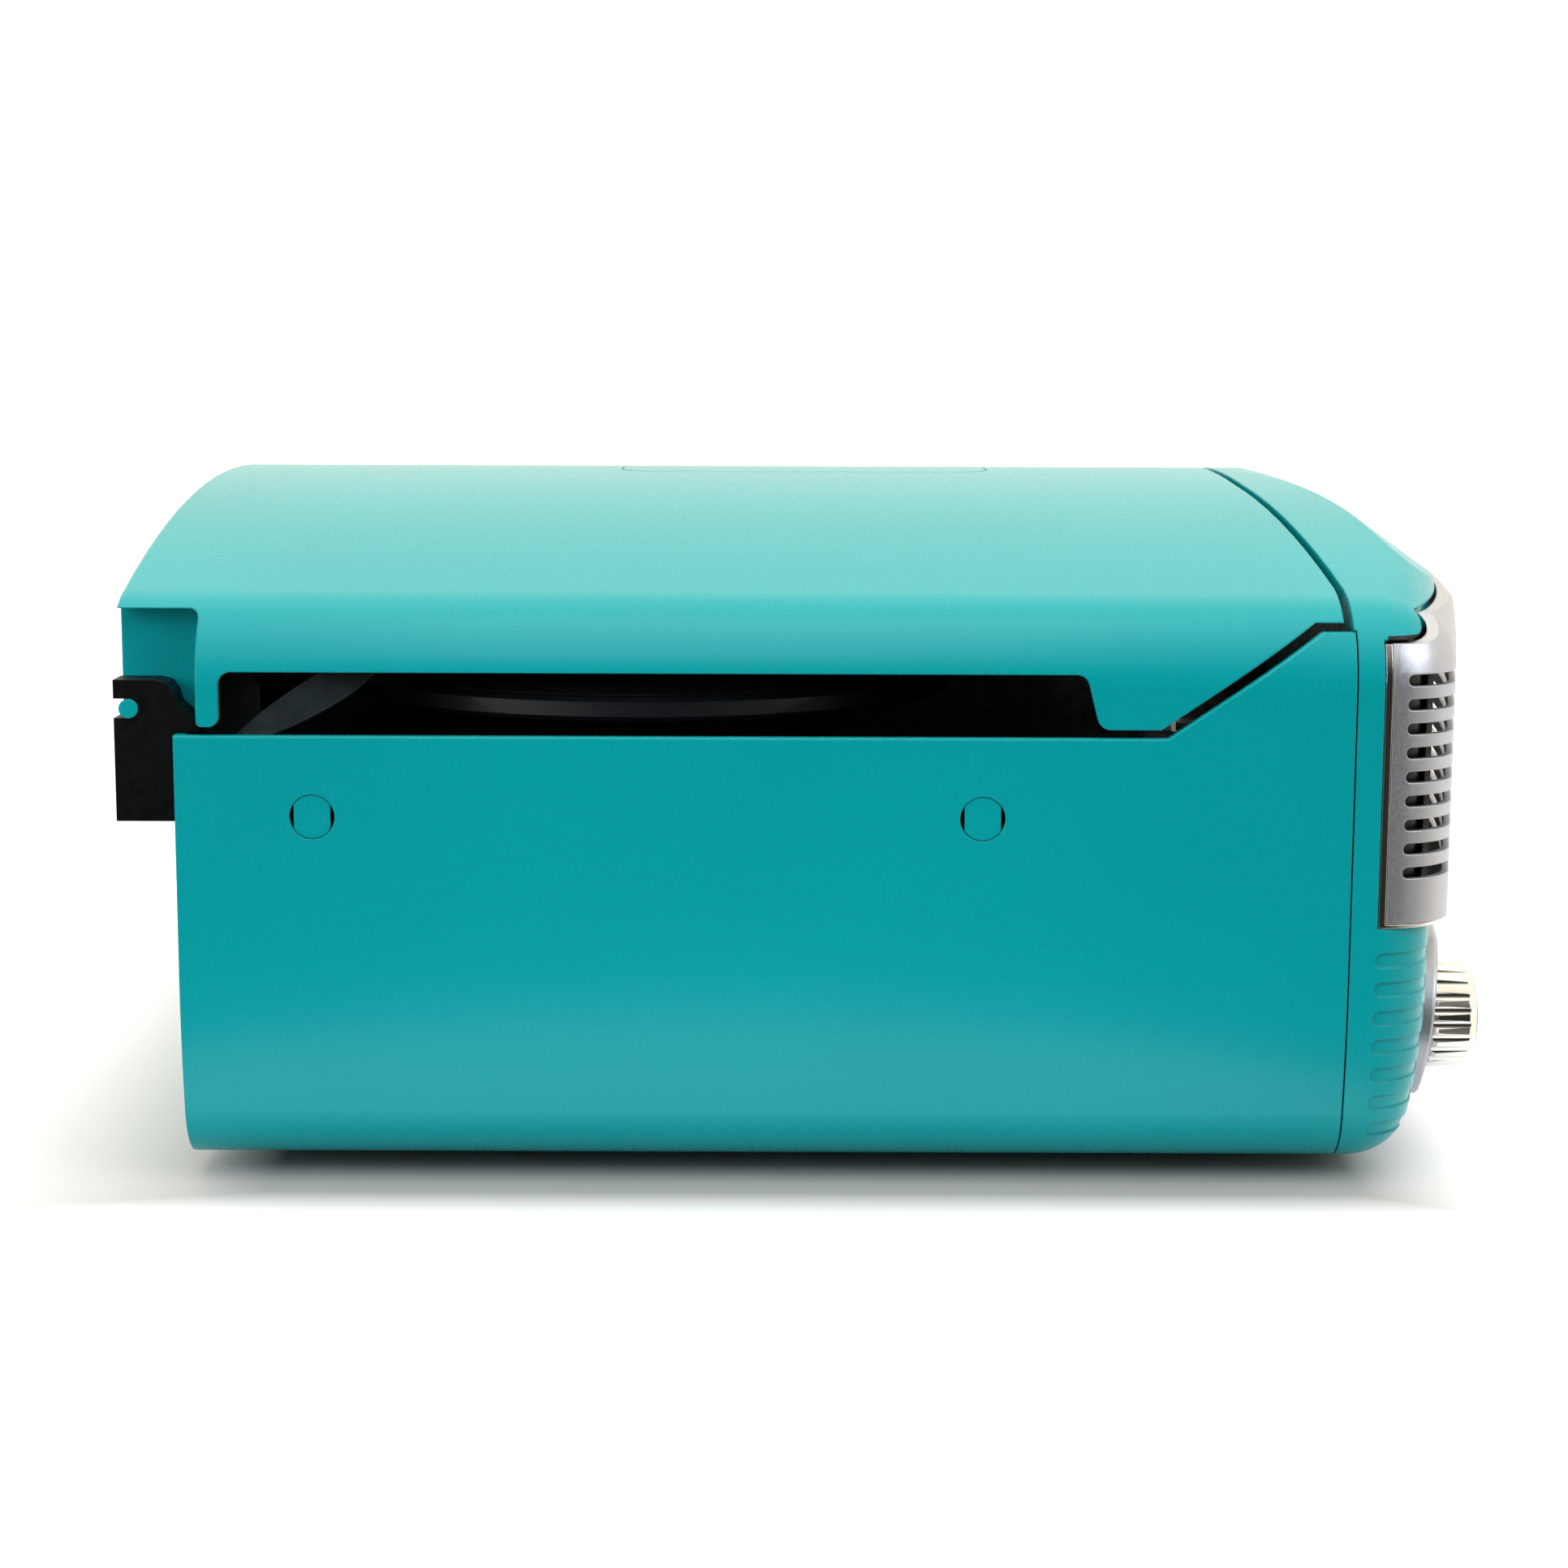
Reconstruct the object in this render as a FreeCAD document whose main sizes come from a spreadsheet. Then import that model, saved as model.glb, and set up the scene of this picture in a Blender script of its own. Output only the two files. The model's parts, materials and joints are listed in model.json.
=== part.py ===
import FreeCAD, Part
import math
import os
import re
import Sketcher
from FreeCAD import Placement, Rotation, Vector

# Table-top record player, radio and CD music centre in a wrap-around moulded cabinet.
# Millimetres. +X is the right-hand side seen from the front, -Y is the front, +Z is up.
# The origin is on the table, under the middle of the whole machine.

doc = FreeCAD.newDocument("MusicCentre")

SIZES = [
    # cabinet outline, seen from the front
    ("half_width", 215.0), ("foot_height", 6.0), ("roof_top", 209.7), ("roof_radius", 680.0),
    ("shoulder_radius", 28.0), ("taper_top", 66.0), ("side_taper_radius", 260.0),
    ("bottom_corner_radius", 20.0), ("wall", 3.0), ("lid_wall", 2.5),
    # front face, seen from above and from the side
    ("front_y", -208.5), ("front_radius", 894.0), ("front_taper_radius", 240.0),
    ("front_fillet", 20.0), ("hood_start_y", -150.0), ("hood_bend_radius", 60.0),
    ("hood_slope", 36.0), ("front_half_angle", 25.0),
    # seams between cabinet, bezel and lid
    ("rear_y", 195.0), ("side_top", 139.5), ("arm_knee_y", -103.0), ("arm_top_y", -149.4),
    ("arm_top", 171.1), ("seam_y", -159.0), ("seam_gap", 0.5), ("lid_gap", 2.3), ("foot_gap", 2.6),
    ("seam_bend_x", 190.0), ("seam_bend_y", -158.0), ("seam_inner_x", 60.0),
    ("seam_inner_y", -146.6), ("seam_middle_y", -145.0),
    # lid
    ("lid_rear_y", 213.5), ("slot_top", 158.6), ("slot_front_y", -78.4), ("slot_lean", 4.2),
    ("slot_rear_y", 181.3), ("notch_y", 188.0), ("notch_top", 176.6), ("notch_x", 196.0),
    ("hinge_y", 209.0), ("hinge_z", 147.0), ("pin_radius", 2.9), ("groove_radius", 3.0),
    ("skirt_corner", 3.0), ("slot_corner", 4.0),
    # hinge brackets
    ("bracket_inner", 198.0), ("bracket_outer", 210.0), ("bracket_bottom", 112.7),
    ("bracket_rear_y", 213.6), ("bracket_top", 155.6), ("groove_mouth", 5.9),
    # side plugs
    ("plug_radius", 6.8), ("plug_rear_y", 153.8), ("plug_front_y", -47.8), ("plug_z", 115.0),
    ("plug_flat", 5.5), ("plug_thick", 2.2),
    # deck and turntable
    ("deck_top", 134.0), ("deck_thick", 3.0), ("platter_x", -98.0), ("platter_y", 58.0),
    ("platter_radius", 101.5), ("platter_bottom", 142.0), ("platter_top", 149.5),
    ("mat_radius", 97.0), ("mat_proud", 0.6), ("spindle_radius", 3.6), ("bearing_radius", 3.95),
    ("drum_radius", 72.0), ("pulley_radius", 6.0), ("pulley_offset", 60.8),
    ("motor_radius", 17.0), ("motor_length", 24.0),
    # tonearm
    ("arm_x", 75.0), ("arm_y", 140.0), ("arm_pivot_z", 158.0), ("arm_reach", 195.0),
    ("tube_radius", 4.0), ("arm_base_radius", 18.0), ("arm_rest_y", 12.0), ("lift_y", 108.0),
    ("switch_x", 130.0),
    # rear jack panel
    ("panel_left", -188.0), ("panel_right", -70.0), ("panel_low", 62.0), ("panel_high", 102.0),
    ("jack_bore", 3.2), ("inlet_x", -96.0), ("inlet_z", 80.0),
    # front panel
    ("grille_proud", 5.6), ("grille_thick", 2.2), ("grille_bottom", 83.2), ("grille_side_y", -170.0),
    ("grille_side_inset", 0.3), ("grille_gap", 0.3), ("lip_clear", 0.35), ("floor_depth", 2.4),
    ("ledge_high", 182.2), ("ledge_slope", 48.0),
    ("slot_count", 9.0), ("slot_pitch", 7.3), ("slot_height", 3.5), ("slot_low", 98.8),
    ("slot_start_y", -174.5), ("dial_half", 70.0), ("dial_low", 92.0), ("dial_high", 161.0),
    ("trim_side", 2.3), ("trim_low", 1.3), ("speaker_x", 138.0), ("speaker_z", 121.0),
    ("speaker_y", -185.5), ("speaker_hole", 30.0),
    ("knob_x", 150.0), ("knob_z", 41.0), ("knob_radius", 17.6), ("knob_back_y", -195.4),
    ("knob_length", 15.8), ("knob_pocket", 18.4), ("shaft_radius", 3.0), ("shaft_hole", 5.0),
    ("plate_half_height", 26.0), ("plate_thick", 4.0), ("rib_count", 7.0), ("rib_pitch", 9.0),
    ("rib_low", 17.9), ("rib_height", 4.4), ("rib_depth", 0.55), ("rib_start_y", -167.0),
    ("button_pitch", 30.0), ("button_half", 11.0), ("button_height", 12.0), ("button_proud", 1.7),
    ("phones_x", -102.0),
    # CD player in the lid
    ("cd_x", 45.0), ("cd_y", 5.0), ("cd_half", 66.0), ("cd_floor", 187.0), ("disc_radius", 61.0),
    ("cover_low", 174.0), ("cover_thick", 2.0),
    # inside
    ("board_z", 18.0), ("board_thick", 1.6), ("frame_radius", 37.0), ("frame_thick", 3.0),
    ("bowl_radius", 35.0), ("bowl_rear", 16.0), ("bowl_depth", 12.0), ("magnet_radius", 21.0),
    ("magnet_depth", 7.0), ("coil_radius", 8.0), ("cone_depth", 9.2), ("can_gap", 6.6),
    ("can_radius", 11.0), ("can_length", 12.0), ("shaft_length", 20.0), ("flute_radius", 1.75),
    ("flute_count", 24.0), ("phones_radius", 4.1), ("phones_bore", 1.8),
    # fastenings and fits
    ("seat_gap", 0.1), ("running_fit", 0.06), ("screw_head", 3.2), ("screw_head_depth", 1.8),
    ("screw_shank", 1.4), ("screw_hole", 1.5), ("screw_length", 9.0), ("side_head", 4.2),
    ("side_head_depth", 2.8), ("side_seat", 2.6), ("side_shank", 1.9), ("side_length", 13.0),
    ("side_tip", 18.3), ("side_bore", 40.0), ("side_sink", 5.5), ("hinge_screw", 1.5),
    ("hinge_screw_reach", 8.0), ("hinge_head", 3.0), ("plug_fit", 0.12), ("plug_sink", 0.3),
    ("foot_radius", 13.0), ("base_border", 30.0), ("base_inset", 15.0), ("base_thick", 3.0),
    # deck fittings
    ("deck_gap", 0.3), ("lug_half", 9.0), ("lug_thick", 5.0), ("post_outer", 206.0),
    ("post_inner", 197.0), ("post_front_y", 170.0), ("post_rear_y", 184.5), ("post_gap", 2.0),
    ("rail_inset", 40.0), ("rail_front", 3.0), ("rail_thick", 6.0), ("rail_height", 8.0),
    ("lever_x", 98.0), ("lever_y", 120.0), ("lever_z", 140.0), ("lever_shaft", 2.0),
    ("pillar_half", 4.0), ("pillar_thick", 6.0), ("pillar_height", 10.0), ("lift_x", 65.0),
    ("lift_radius", 2.5), ("switch_slot", 3.5), ("adapter_radius", 19.0),
    # platter and arm details
    ("web_depth", 4.0), ("web_thick", 3.0), ("hub_radius", 12.0), ("drum_drop", 2.0),
    ("rim_thick", 4.0), ("rim_round", 1.5), ("mat_gap", 0.4), ("mat_recess", 1.2),
    ("bearing_depth", 16.0), ("flange", 3.0), ("pin_height", 10.0), ("motor_shaft", 1.25),
    ("arm_base_height", 12.0), ("yoke_post", 4.0), ("yoke_half", 12.0), ("ear_thick", 4.0),
    ("axle_radius", 1.5), ("arm_hub", 7.5), ("neck_length", 32.0), ("weight_radius", 8.5),
    ("shell_half", 8.0), ("shell_wall", 1.8), ("stylus_tip", 0.3), ("clip_x", 81.9),
    ("clip_half", 1.4), ("clip_pin", 0.8), ("clip_height", 10.2),
    # rear panel details
    ("panel_gap", 0.3), ("panel_border", 4.0), ("panel_back", 2.0), ("drip_low", 3.3),
    ("drip_high", 1.5), ("drip_proud", 0.8), ("jack_wall", 1.0), ("jack_behind", 14.0),
    ("jack_floor", 4.0), ("jack_length", 22.0), ("inlet_half", 11.8), ("inlet_tall", 7.8),
    ("inlet_wall", 2.0), ("inlet_depth", 16.0), ("pin_half", 1.2), ("pin_spread", 4.0),
    ("pin_length", 12.0),
]

ALIASES = {name for name, _ in SIZES}
PARTS = {}


def fill_sheet():
    """Write every driving dimension to the spreadsheet, one row each."""
    table = doc.addObject("Spreadsheet::Sheet", "Sizes")
    for row, (name, size) in enumerate(SIZES, start=1):
        table.set("A%d" % row, name)
        table.set("B%d" % row, str(size))
        table.setAlias("B%d" % row, name)
    doc.recompute()
    return table


sheet = fill_sheet()


def get(name):
    """A driving dimension, read back from the sheet."""
    return float(getattr(sheet, name))


def bound(text):
    """Turn a formula of plain names into an expression on the sheet's cells."""
    def cell(match):
        word = match.group()
        return "Sizes." + word if word in ALIASES else word
    return re.sub(r"[A-Za-z_][A-Za-z_0-9]*", cell, str(text))


def bind(item, **formulas):
    """Bind properties; a double underscore in a key stands for a dot."""
    for key, text in formulas.items():
        item.setExpression(key.replace("__", "."), bound(text))
    return item


def number(text):
    """The value of a formula of sheet names."""
    return float(doc.getObject("Sizes").evalExpression(bound(text)))


def keep(node, item):
    """Register an object as the sub-part of that name."""
    item.Label = node
    PARTS[node] = item
    return item


# ---------------------------------------------------------------- Part primitives


def box(low, high):
    """A Part::Box between two corners given as formulas."""
    item = doc.addObject("Part::Box", "Block")
    bind(item, Placement__Base__x=low[0], Placement__Base__y=low[1], Placement__Base__z=low[2])
    bind(item, Length="(%s)-(%s)" % (high[0], low[0]))
    bind(item, Width="(%s)-(%s)" % (high[1], low[1]))
    return bind(item, Height="(%s)-(%s)" % (high[2], low[2]))


AXIS_TURN = {"x": Rotation(Vector(0, 1, 0), 90), "y": Rotation(Vector(1, 0, 0), -90),
             "z": Rotation(), "front": Rotation(Vector(1, 0, 0), 90)}


def cylinder(centre, radius, length, axis="z"):
    """A Part::Cylinder that starts at centre and runs along +axis."""
    item = doc.addObject("Part::Cylinder", "Round")
    item.Placement = Placement(Vector(), AXIS_TURN[axis])
    bind(item, Radius=radius, Height=length)
    return bind(item, Placement__Base__x=centre[0], Placement__Base__y=centre[1],
                Placement__Base__z=centre[2])


def fuse(*items):
    item = doc.addObject("Part::MultiFuse", "Joined")
    item.Shapes = list(items)
    return item


def common(first, second):
    item = doc.addObject("Part::Common", "Shared")
    item.Base, item.Tool = first, second
    return item


def cut(base, *tools):
    item = doc.addObject("Part::Cut", "Cut")
    item.Base = base
    item.Tool = tools[0] if len(tools) == 1 else compound(tools)
    return item


def compound(items):
    item = doc.addObject("Part::Compound", "Group")
    item.Links = list(items)
    return item


def shape_feature(node, shape):
    """A moulded shape made with Part's own functions, as one object of the document."""
    item = doc.addObject("Part::Feature", "Moulding")
    item.Shape = shape
    item.Placement = Placement()
    return keep(node, item) if node else item


def tube(centre, outer, inner, length, axis="z"):
    """A plain ring or sleeve."""
    return cut(cylinder(centre, outer, length, axis), cylinder(centre, inner, length, axis))


# ---------------------------------------------------------------- PartDesign helpers


def new_body(node):
    return keep(node, doc.addObject("PartDesign::Body", "Body"))


def plane_of(body, role):
    return next(item for item in body.Origin.OriginFeatures if item.Role == role)


def sketch_on(body, role, name):
    sketch = body.newObject("Sketcher::SketchObject", name)
    sketch.AttachmentSupport = (plane_of(body, role), [""])
    sketch.MapMode = "FlatFace"
    return sketch


def pin_down(sketch, edge, end, x, y):
    """Hold one sketch point at the formulas x and y."""
    for kind, text in (("DistanceX", x), ("DistanceY", y)):
        size = number(text)
        if abs(size) < 1e-9:
            line = -2 if kind == "DistanceX" else -1
            sketch.addConstraint(Sketcher.Constraint("PointOnObject", edge, end, line))
        else:
            index = sketch.addConstraint(Sketcher.Constraint(kind, -1, 1, edge, end, size))
            sketch.setExpression("Constraints[%d]" % index, bound(text))


def outline_sketch(body, role, name, points):
    """A closed outline of straight edges through points given as pairs of formulas."""
    sketch = sketch_on(body, role, name)
    places = [Vector(number(x), number(y), 0) for x, y in points]
    count = len(points)
    for index, place in enumerate(places):
        sketch.addGeometry(Part.LineSegment(place, places[(index + 1) % count]), False)
    for index in range(count):
        sketch.addConstraint(Sketcher.Constraint("Coincident", index, 2, (index + 1) % count, 1))
    for index, (x, y) in enumerate(points):
        pin_down(sketch, index, 1, x, y)
    return sketch


def circle_sketch(body, role, name, x, y, radius):
    sketch = sketch_on(body, role, name)
    circle = Part.Circle(Vector(number(x), number(y), 0), Vector(0, 0, 1), number(radius))
    sketch.addGeometry(circle, False)
    index = sketch.addConstraint(Sketcher.Constraint("Radius", 0, number(radius)))
    sketch.setExpression("Constraints[%d]" % index, bound(radius))
    pin_down(sketch, 0, 3, x, y)
    return sketch


def turned(node, points):
    """A turned piece: an outline of radius and height, revolved about its own Z axis."""
    body = new_body(node)
    sketch = outline_sketch(body, "XZ_Plane", "Profile", points)
    turn = body.newObject("PartDesign::Revolution", "Turned")
    turn.Profile = sketch
    turn.ReferenceAxis = (sketch, ["V_Axis"])
    turn.Angle = 360
    return body


def padded(node, role, points, length, backwards=False):
    """A plate or bar: an outline pushed out along its plane's normal."""
    body = new_body(node)
    sketch = outline_sketch(body, role, "Outline", points)
    pad = body.newObject("PartDesign::Pad", "Pad")
    pad.Profile = sketch
    pad.Reversed = backwards
    bind(pad, Length=length)
    return body


def move(item, x="0", y="0", z="0"):
    return bind(item, Placement__Base__x=x, Placement__Base__y=y, Placement__Base__z=z)


# ---------------------------------------------------------------- moulded outer form


def line(start, end):
    return Part.LineSegment(start, end).toShape()


def arc(start, middle, end):
    return Part.Arc(start, middle, end).toShape()


def polar(centre, radius, angle):
    return (centre[0] + radius * math.cos(angle), centre[1] + radius * math.sin(angle))


def front_outline(grow):
    """Right half of the front view as named points; grow moves the outline outwards."""
    side = get("half_width") + grow
    dome = (0.0, get("roof_top") - get("roof_radius"))
    dome_radius = get("roof_radius") + grow
    shoulder_radius = get("shoulder_radius") + grow
    reach = dome_radius - shoulder_radius
    shoulder = (side - shoulder_radius, dome[1] + math.sqrt(reach**2 - (side - shoulder_radius)**2))
    shoulder_angle = math.atan2(shoulder[1] - dome[1], shoulder[0])
    taper_radius = get("side_taper_radius") + grow
    taper = (side - taper_radius, get("taper_top"))
    corner_radius = get("bottom_corner_radius") + grow
    corner_z = get("foot_height") - grow + corner_radius
    drop = corner_z - taper[1]
    corner = (taper[0] + math.sqrt((taper_radius - corner_radius)**2 - drop**2), corner_z)
    taper_angle = math.atan2(drop, corner[0] - taper[0])
    return {
        "floor": (corner[0], corner_z - corner_radius),
        "corner": polar(corner, corner_radius, (taper_angle - math.pi / 2) / 2),
        "taper_end": polar(taper, taper_radius, taper_angle),
        "taper": polar(taper, taper_radius, taper_angle / 2),
        "wall_low": (side, get("taper_top")),
        "wall_high": (side, shoulder[1]),
        "shoulder": polar(shoulder, shoulder_radius, shoulder_angle / 2),
        "dome_start": polar(dome, dome_radius, shoulder_angle),
        "top": (0.0, get("roof_top") + grow),
    }


def cabinet_prism(grow, front, rear):
    """The front outline pushed through from front to rear."""
    points = front_outline(grow)

    def right(name):
        return Vector(points[name][0], rear, points[name][1])

    def left(name):
        return Vector(-points[name][0], rear, points[name][1])

    edges = [
        line(left("floor"), right("floor")),
        arc(right("floor"), right("corner"), right("taper_end")),
        arc(right("taper_end"), right("taper"), right("wall_low")),
        line(right("wall_low"), right("wall_high")),
        arc(right("wall_high"), right("shoulder"), right("dome_start")),
        arc(right("dome_start"), right("top"), left("dome_start")),
        arc(left("dome_start"), left("shoulder"), left("wall_high")),
        line(left("wall_high"), left("wall_low")),
        arc(left("wall_low"), left("taper"), left("taper_end")),
        arc(left("taper_end"), left("corner"), left("floor")),
    ]
    return Part.Face(Part.Wire(edges)).extrude(Vector(0, front - rear, 0))


def swept_front(profile):
    """Revolve a side-view profile about the upright axis of the bowed front."""
    axis_y = get("front_y") + get("front_radius")
    face = Part.Face(Part.Wire(profile))
    face.rotate(Vector(0, axis_y, 0), Vector(0, 0, 1), -get("front_half_angle"))
    return face.revolve(Vector(0, axis_y, 0), Vector(0, 0, 1), 2 * get("front_half_angle"))


def bowed_limit(grow):
    """Everything behind the bowed front face, with its lower part leaning back."""
    high, deep = 400.0, get("front_y") + get("front_radius") - 1.0
    low = get("foot_height") - abs(grow) - 5.0
    face_y = get("front_y") - grow
    bend = get("taper_top")
    radius = get("front_taper_radius") + grow
    lean = math.asin((bend - low) / radius)

    def lower(angle):
        return Vector(0, face_y + radius * (1 - math.cos(angle)), bend - radius * math.sin(angle))

    corners = [Vector(0, face_y, bend), Vector(0, face_y, high), Vector(0, deep, high),
               Vector(0, deep, low), lower(lean)]
    edges = [line(first, second) for first, second in zip(corners, corners[1:])]
    edges.append(arc(lower(lean), lower(lean / 2), corners[0]))
    return swept_front(edges)


def hood_limit(grow):
    """Everything under the hood's curve, which rolls over the front of the roof."""
    top = get("roof_top") + grow
    radius = get("hood_bend_radius") + grow
    slope = math.radians(get("hood_slope"))
    start = get("hood_start_y")
    low, run = -50.0, 60.0
    deep = get("front_y") + get("front_radius") - 1.0

    def bend(angle):
        return Vector(0, start - radius * math.sin(angle), top - radius * (1 - math.cos(angle)))

    end = bend(slope)
    tip = Vector(0, end.y - run * math.cos(slope), end.z - run * math.sin(slope))
    corners = [tip, Vector(0, tip.y, low), Vector(0, deep, low), Vector(0, deep, top),
               Vector(0, start, top)]
    edges = [line(first, second) for first, second in zip(corners, corners[1:])]
    edges += [arc(Vector(0, start, top), bend(slope / 2), end), line(end, tip)]
    return swept_front(edges)


def sharp_corner(solid, edge):
    """True on the corner between the bowed front and the sides or the floor."""
    middle = edge.valueAt((edge.FirstParameter + edge.LastParameter) / 2)
    roof_line = get("arm_top") + 14
    if middle.y > get("seam_y") - 5 or middle.z > roof_line:
        return False
    faces = solid.ancestorsOfType(edge, Part.Face)
    normals = [face.normalAt(*face.Surface.parameter(middle)) for face in faces]
    return len(normals) == 2 and normals[0].getAngle(normals[1]) > math.radians(10)


def outer_form(grow, rounding):
    """The whole bowed cabinet form, filled solid, before the seams part it."""
    prism = cabinet_prism(grow, get("front_y") - 90, get("lid_rear_y"))
    solid = prism.common(bowed_limit(grow)).Solids[0]
    edges = [edge for edge in solid.Edges if sharp_corner(solid, edge)]
    return solid.makeFillet(rounding, edges)


def side_prism(points, low_x, high_x):
    """A side-view outline of (y, z) points pushed along X."""
    corners = [Vector(low_x, y, z) for y, z in points]
    face = Part.Face(Part.makePolygon(corners + corners[:1]))
    return face.extrude(Vector(high_x - low_x, 0, 0))


def block(low, high):
    size = Vector(*high) - Vector(*low)
    return Part.makeBox(size.x, size.y, size.z, Vector(*low))


def pill(first, second, radius, depth):
    """A rod of slot section: two round ends joined, pushed along depth."""
    along = (second - first).normalize()
    across = along.cross(depth).normalize() * radius
    ends = along * radius
    edges = [line(first + across, second + across), arc(second + across, second + ends, second - across),
             line(second - across, first - across), arc(first - across, first - ends, first + across)]
    return Part.Face(Part.Wire(edges)).extrude(depth)


WIDE = 300.0
FAR = 320.0
CLEAR = 5.0
FOOT_PLACES = [(x, y) for x in (-140, 140) for y in (-105, 140)]
BASE_SCREWS = [(x, y) for x in (-175, 0, 175) for y in (-139.5, 175.5)]
SWITCH_SLOTS = {"speed_switch": (-42, -8), "auto_stop_switch": (8, 34)}
JACK_PLACES = [(x, z) for x in (-172, -152) for z in (74, 90)]


def cabinet_outline():
    """Side view of the cabinet tub, below the lid."""
    top = get("side_top")
    return [(get("seam_y"), -CLEAR), (get("rear_y"), -CLEAR), (get("rear_y"), top),
            (get("arm_knee_y"), top), (get("arm_top_y"), get("arm_top")),
            (get("seam_y"), get("arm_top"))]


def front_of_seam(offset, step):
    """Everything in front of the bezel's rear seam: straight up to a step, bowed above it."""
    high = get("roof_top") + CLEAR
    side = get("seam_y") + offset
    lower = block((-WIDE, -FAR, -CLEAR), (WIDE, side, step))
    bend = (get("seam_bend_x"), get("seam_bend_y") + offset)
    inner = (get("seam_inner_x"), get("seam_inner_y") + offset)

    def at(x, y):
        return Vector(x, y, step)

    corners = [at(*inner), at(*bend), at(WIDE, side), at(WIDE, -FAR), at(-WIDE, -FAR),
               at(-WIDE, side), at(-bend[0], bend[1]), at(-inner[0], inner[1])]
    edges = [line(first, second) for first, second in zip(corners, corners[1:])]
    edges.append(arc(corners[-1], at(0, get("seam_middle_y") + offset), corners[0]))
    upper = Part.Face(Part.Wire(edges)).extrude(Vector(0, 0, high - step))
    return lower.fuse(upper)


def lid_outline():
    """Side view of the lid, above the cabinet's rim and its two front arms."""
    gap = get("foot_gap")
    rise = get("arm_top") - get("side_top")
    run = get("arm_knee_y") - get("arm_top_y")
    knee = get("arm_knee_y") + gap * run / math.hypot(run, rise)
    low, arm_low, high = get("side_top") + gap, get("arm_top") + gap, get("roof_top") + CLEAR
    return [(get("seam_y"), arm_low), (knee - run, arm_low), (knee, low),
            (get("lid_rear_y"), low), (get("lid_rear_y"), high), (get("seam_y"), high)]


def plug_centres():
    """The four screw pockets in the cabinet's sides."""
    return [(side, y) for side in (-1, 1) for y in (get("plug_rear_y"), get("plug_front_y"))]


def make_cabinet_shell():
    wall, lip, rim_round = get("wall"), 24.0, 0.8
    outer = cabinet_prism(0, get("seam_y"), get("rear_y"))
    inner = cabinet_prism(-wall, get("seam_y") - 1, get("rear_y") - wall)
    shell = outer.cut(inner).common(side_prism(cabinet_outline(), -WIDE, WIDE))
    reach = get("half_width") - 2 * lip
    window = block((-reach, get("seam_y") + lip, -CLEAR),
                   (reach, get("rear_y") - lip, get("foot_height") + wall + 1))
    shell = shell.cut(window)
    for side, y in plug_centres():
        start = Vector(side * (get("half_width") - 2 * wall), y, get("plug_z"))
        shell = shell.cut(Part.makeCylinder(get("plug_radius"), 3 * wall, start, Vector(side, 0, 0)))
    shell = shell.cut(block((get("panel_left"), get("rear_y") - 2 * wall, get("panel_low")),
                            (get("panel_right"), get("rear_y") + wall, get("panel_high"))))
    for x, z in hinge_screw_places():
        start = Vector(x, get("rear_y") - 2 * wall, z)
        shell = shell.cut(Part.makeCylinder(get("hinge_screw") + 0.05, 3 * wall, start, Vector(0, 1, 0)))
    for x, y in BASE_SCREWS:
        start = Vector(x, y, get("foot_height") - wall)
        shell = shell.cut(Part.makeCylinder(get("screw_hole"), 3 * wall, start))
    edges = [edge for edge in shell.Edges if cabinet_rim(edge)]
    return shape_feature("cabinet_shell", shell.makeFillet(rim_round, edges))


def hinge_screw_places():
    """Two screws, one above the other, behind each hinge bracket."""
    middle = (get("bracket_inner") + get("bracket_outer")) / 2
    return [(side * middle, z) for side in (-1, 1) for z in (get("bracket_bottom") + 4.3,
                                                             get("bracket_bottom") + 13.3)]


def cabinet_rim(edge):
    """The outer edges along the cabinet's top, its sloping arms and their flat tops."""
    middle = edge.valueAt((edge.FirstParameter + edge.LastParameter) / 2)
    touch = 0.01
    outside = abs(abs(middle.x) - get("half_width")) < touch
    top = abs(middle.z - get("side_top")) < touch and middle.y < get("rear_y") - 1
    slope = get("side_top") < middle.z < get("arm_top") and middle.y < get("arm_knee_y")
    flat = abs(middle.z - get("arm_top")) < touch
    return outside and (top or slope or flat) and middle.y > get("seam_y") + 1


def make_front_bezel():
    """The wrap-around front moulding: hood, sunken grille floor and control panel."""
    wall, gap = get("wall"), get("seam_gap")
    step = get("arm_top") + gap
    outer = outer_form(0, get("front_fillet")).common(hood_limit(0))
    outer = outer.common(front_of_seam(-gap, step))
    cavity = outer_form(-wall, get("front_fillet") - wall).common(hood_limit(-wall))
    open_back = block((-WIDE, -FAR, -CLEAR), (WIDE, get("seam_y") + CLEAR, get("deck_top") - 2 * wall))
    cavity = cavity.common(front_of_seam(-gap - wall, step + wall).fuse(open_back))
    shell = outer.cut(cavity)
    side, low = get("trim_side") + get("grille_gap"), get("trim_low") + get("grille_gap")
    shell = shell.cut(grille_zone(side, low, get("floor_depth")))
    shell = shell.fuse(grille_floor().common(outer))
    for opening in speaker_openings():
        shell = shell.cut(opening)
    for rib in ribs():
        shell = shell.cut(rib)
    shell = shell.fuse(knob_bosses().common(outer)).cut(knob_pockets())
    return shape_feature("front_bezel", shell.cut(control_holes()))


def grille_zone(side_grow, low_grow, depth):
    """The wrap-around band that the grille covers, grown at its ends and below, to a depth."""
    band = block((-WIDE, -FAR, get("grille_bottom") - low_grow),
                 (WIDE, get("grille_side_y") + side_grow, get("roof_top")))
    reach = get("grille_proud") + CLEAR
    skin = cabinet_prism(reach, -FAR, 0).cut(outer_form(-depth, get("front_fillet") - depth))
    return skin.common(band).common(eyebrow(get("grille_gap")))


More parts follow.
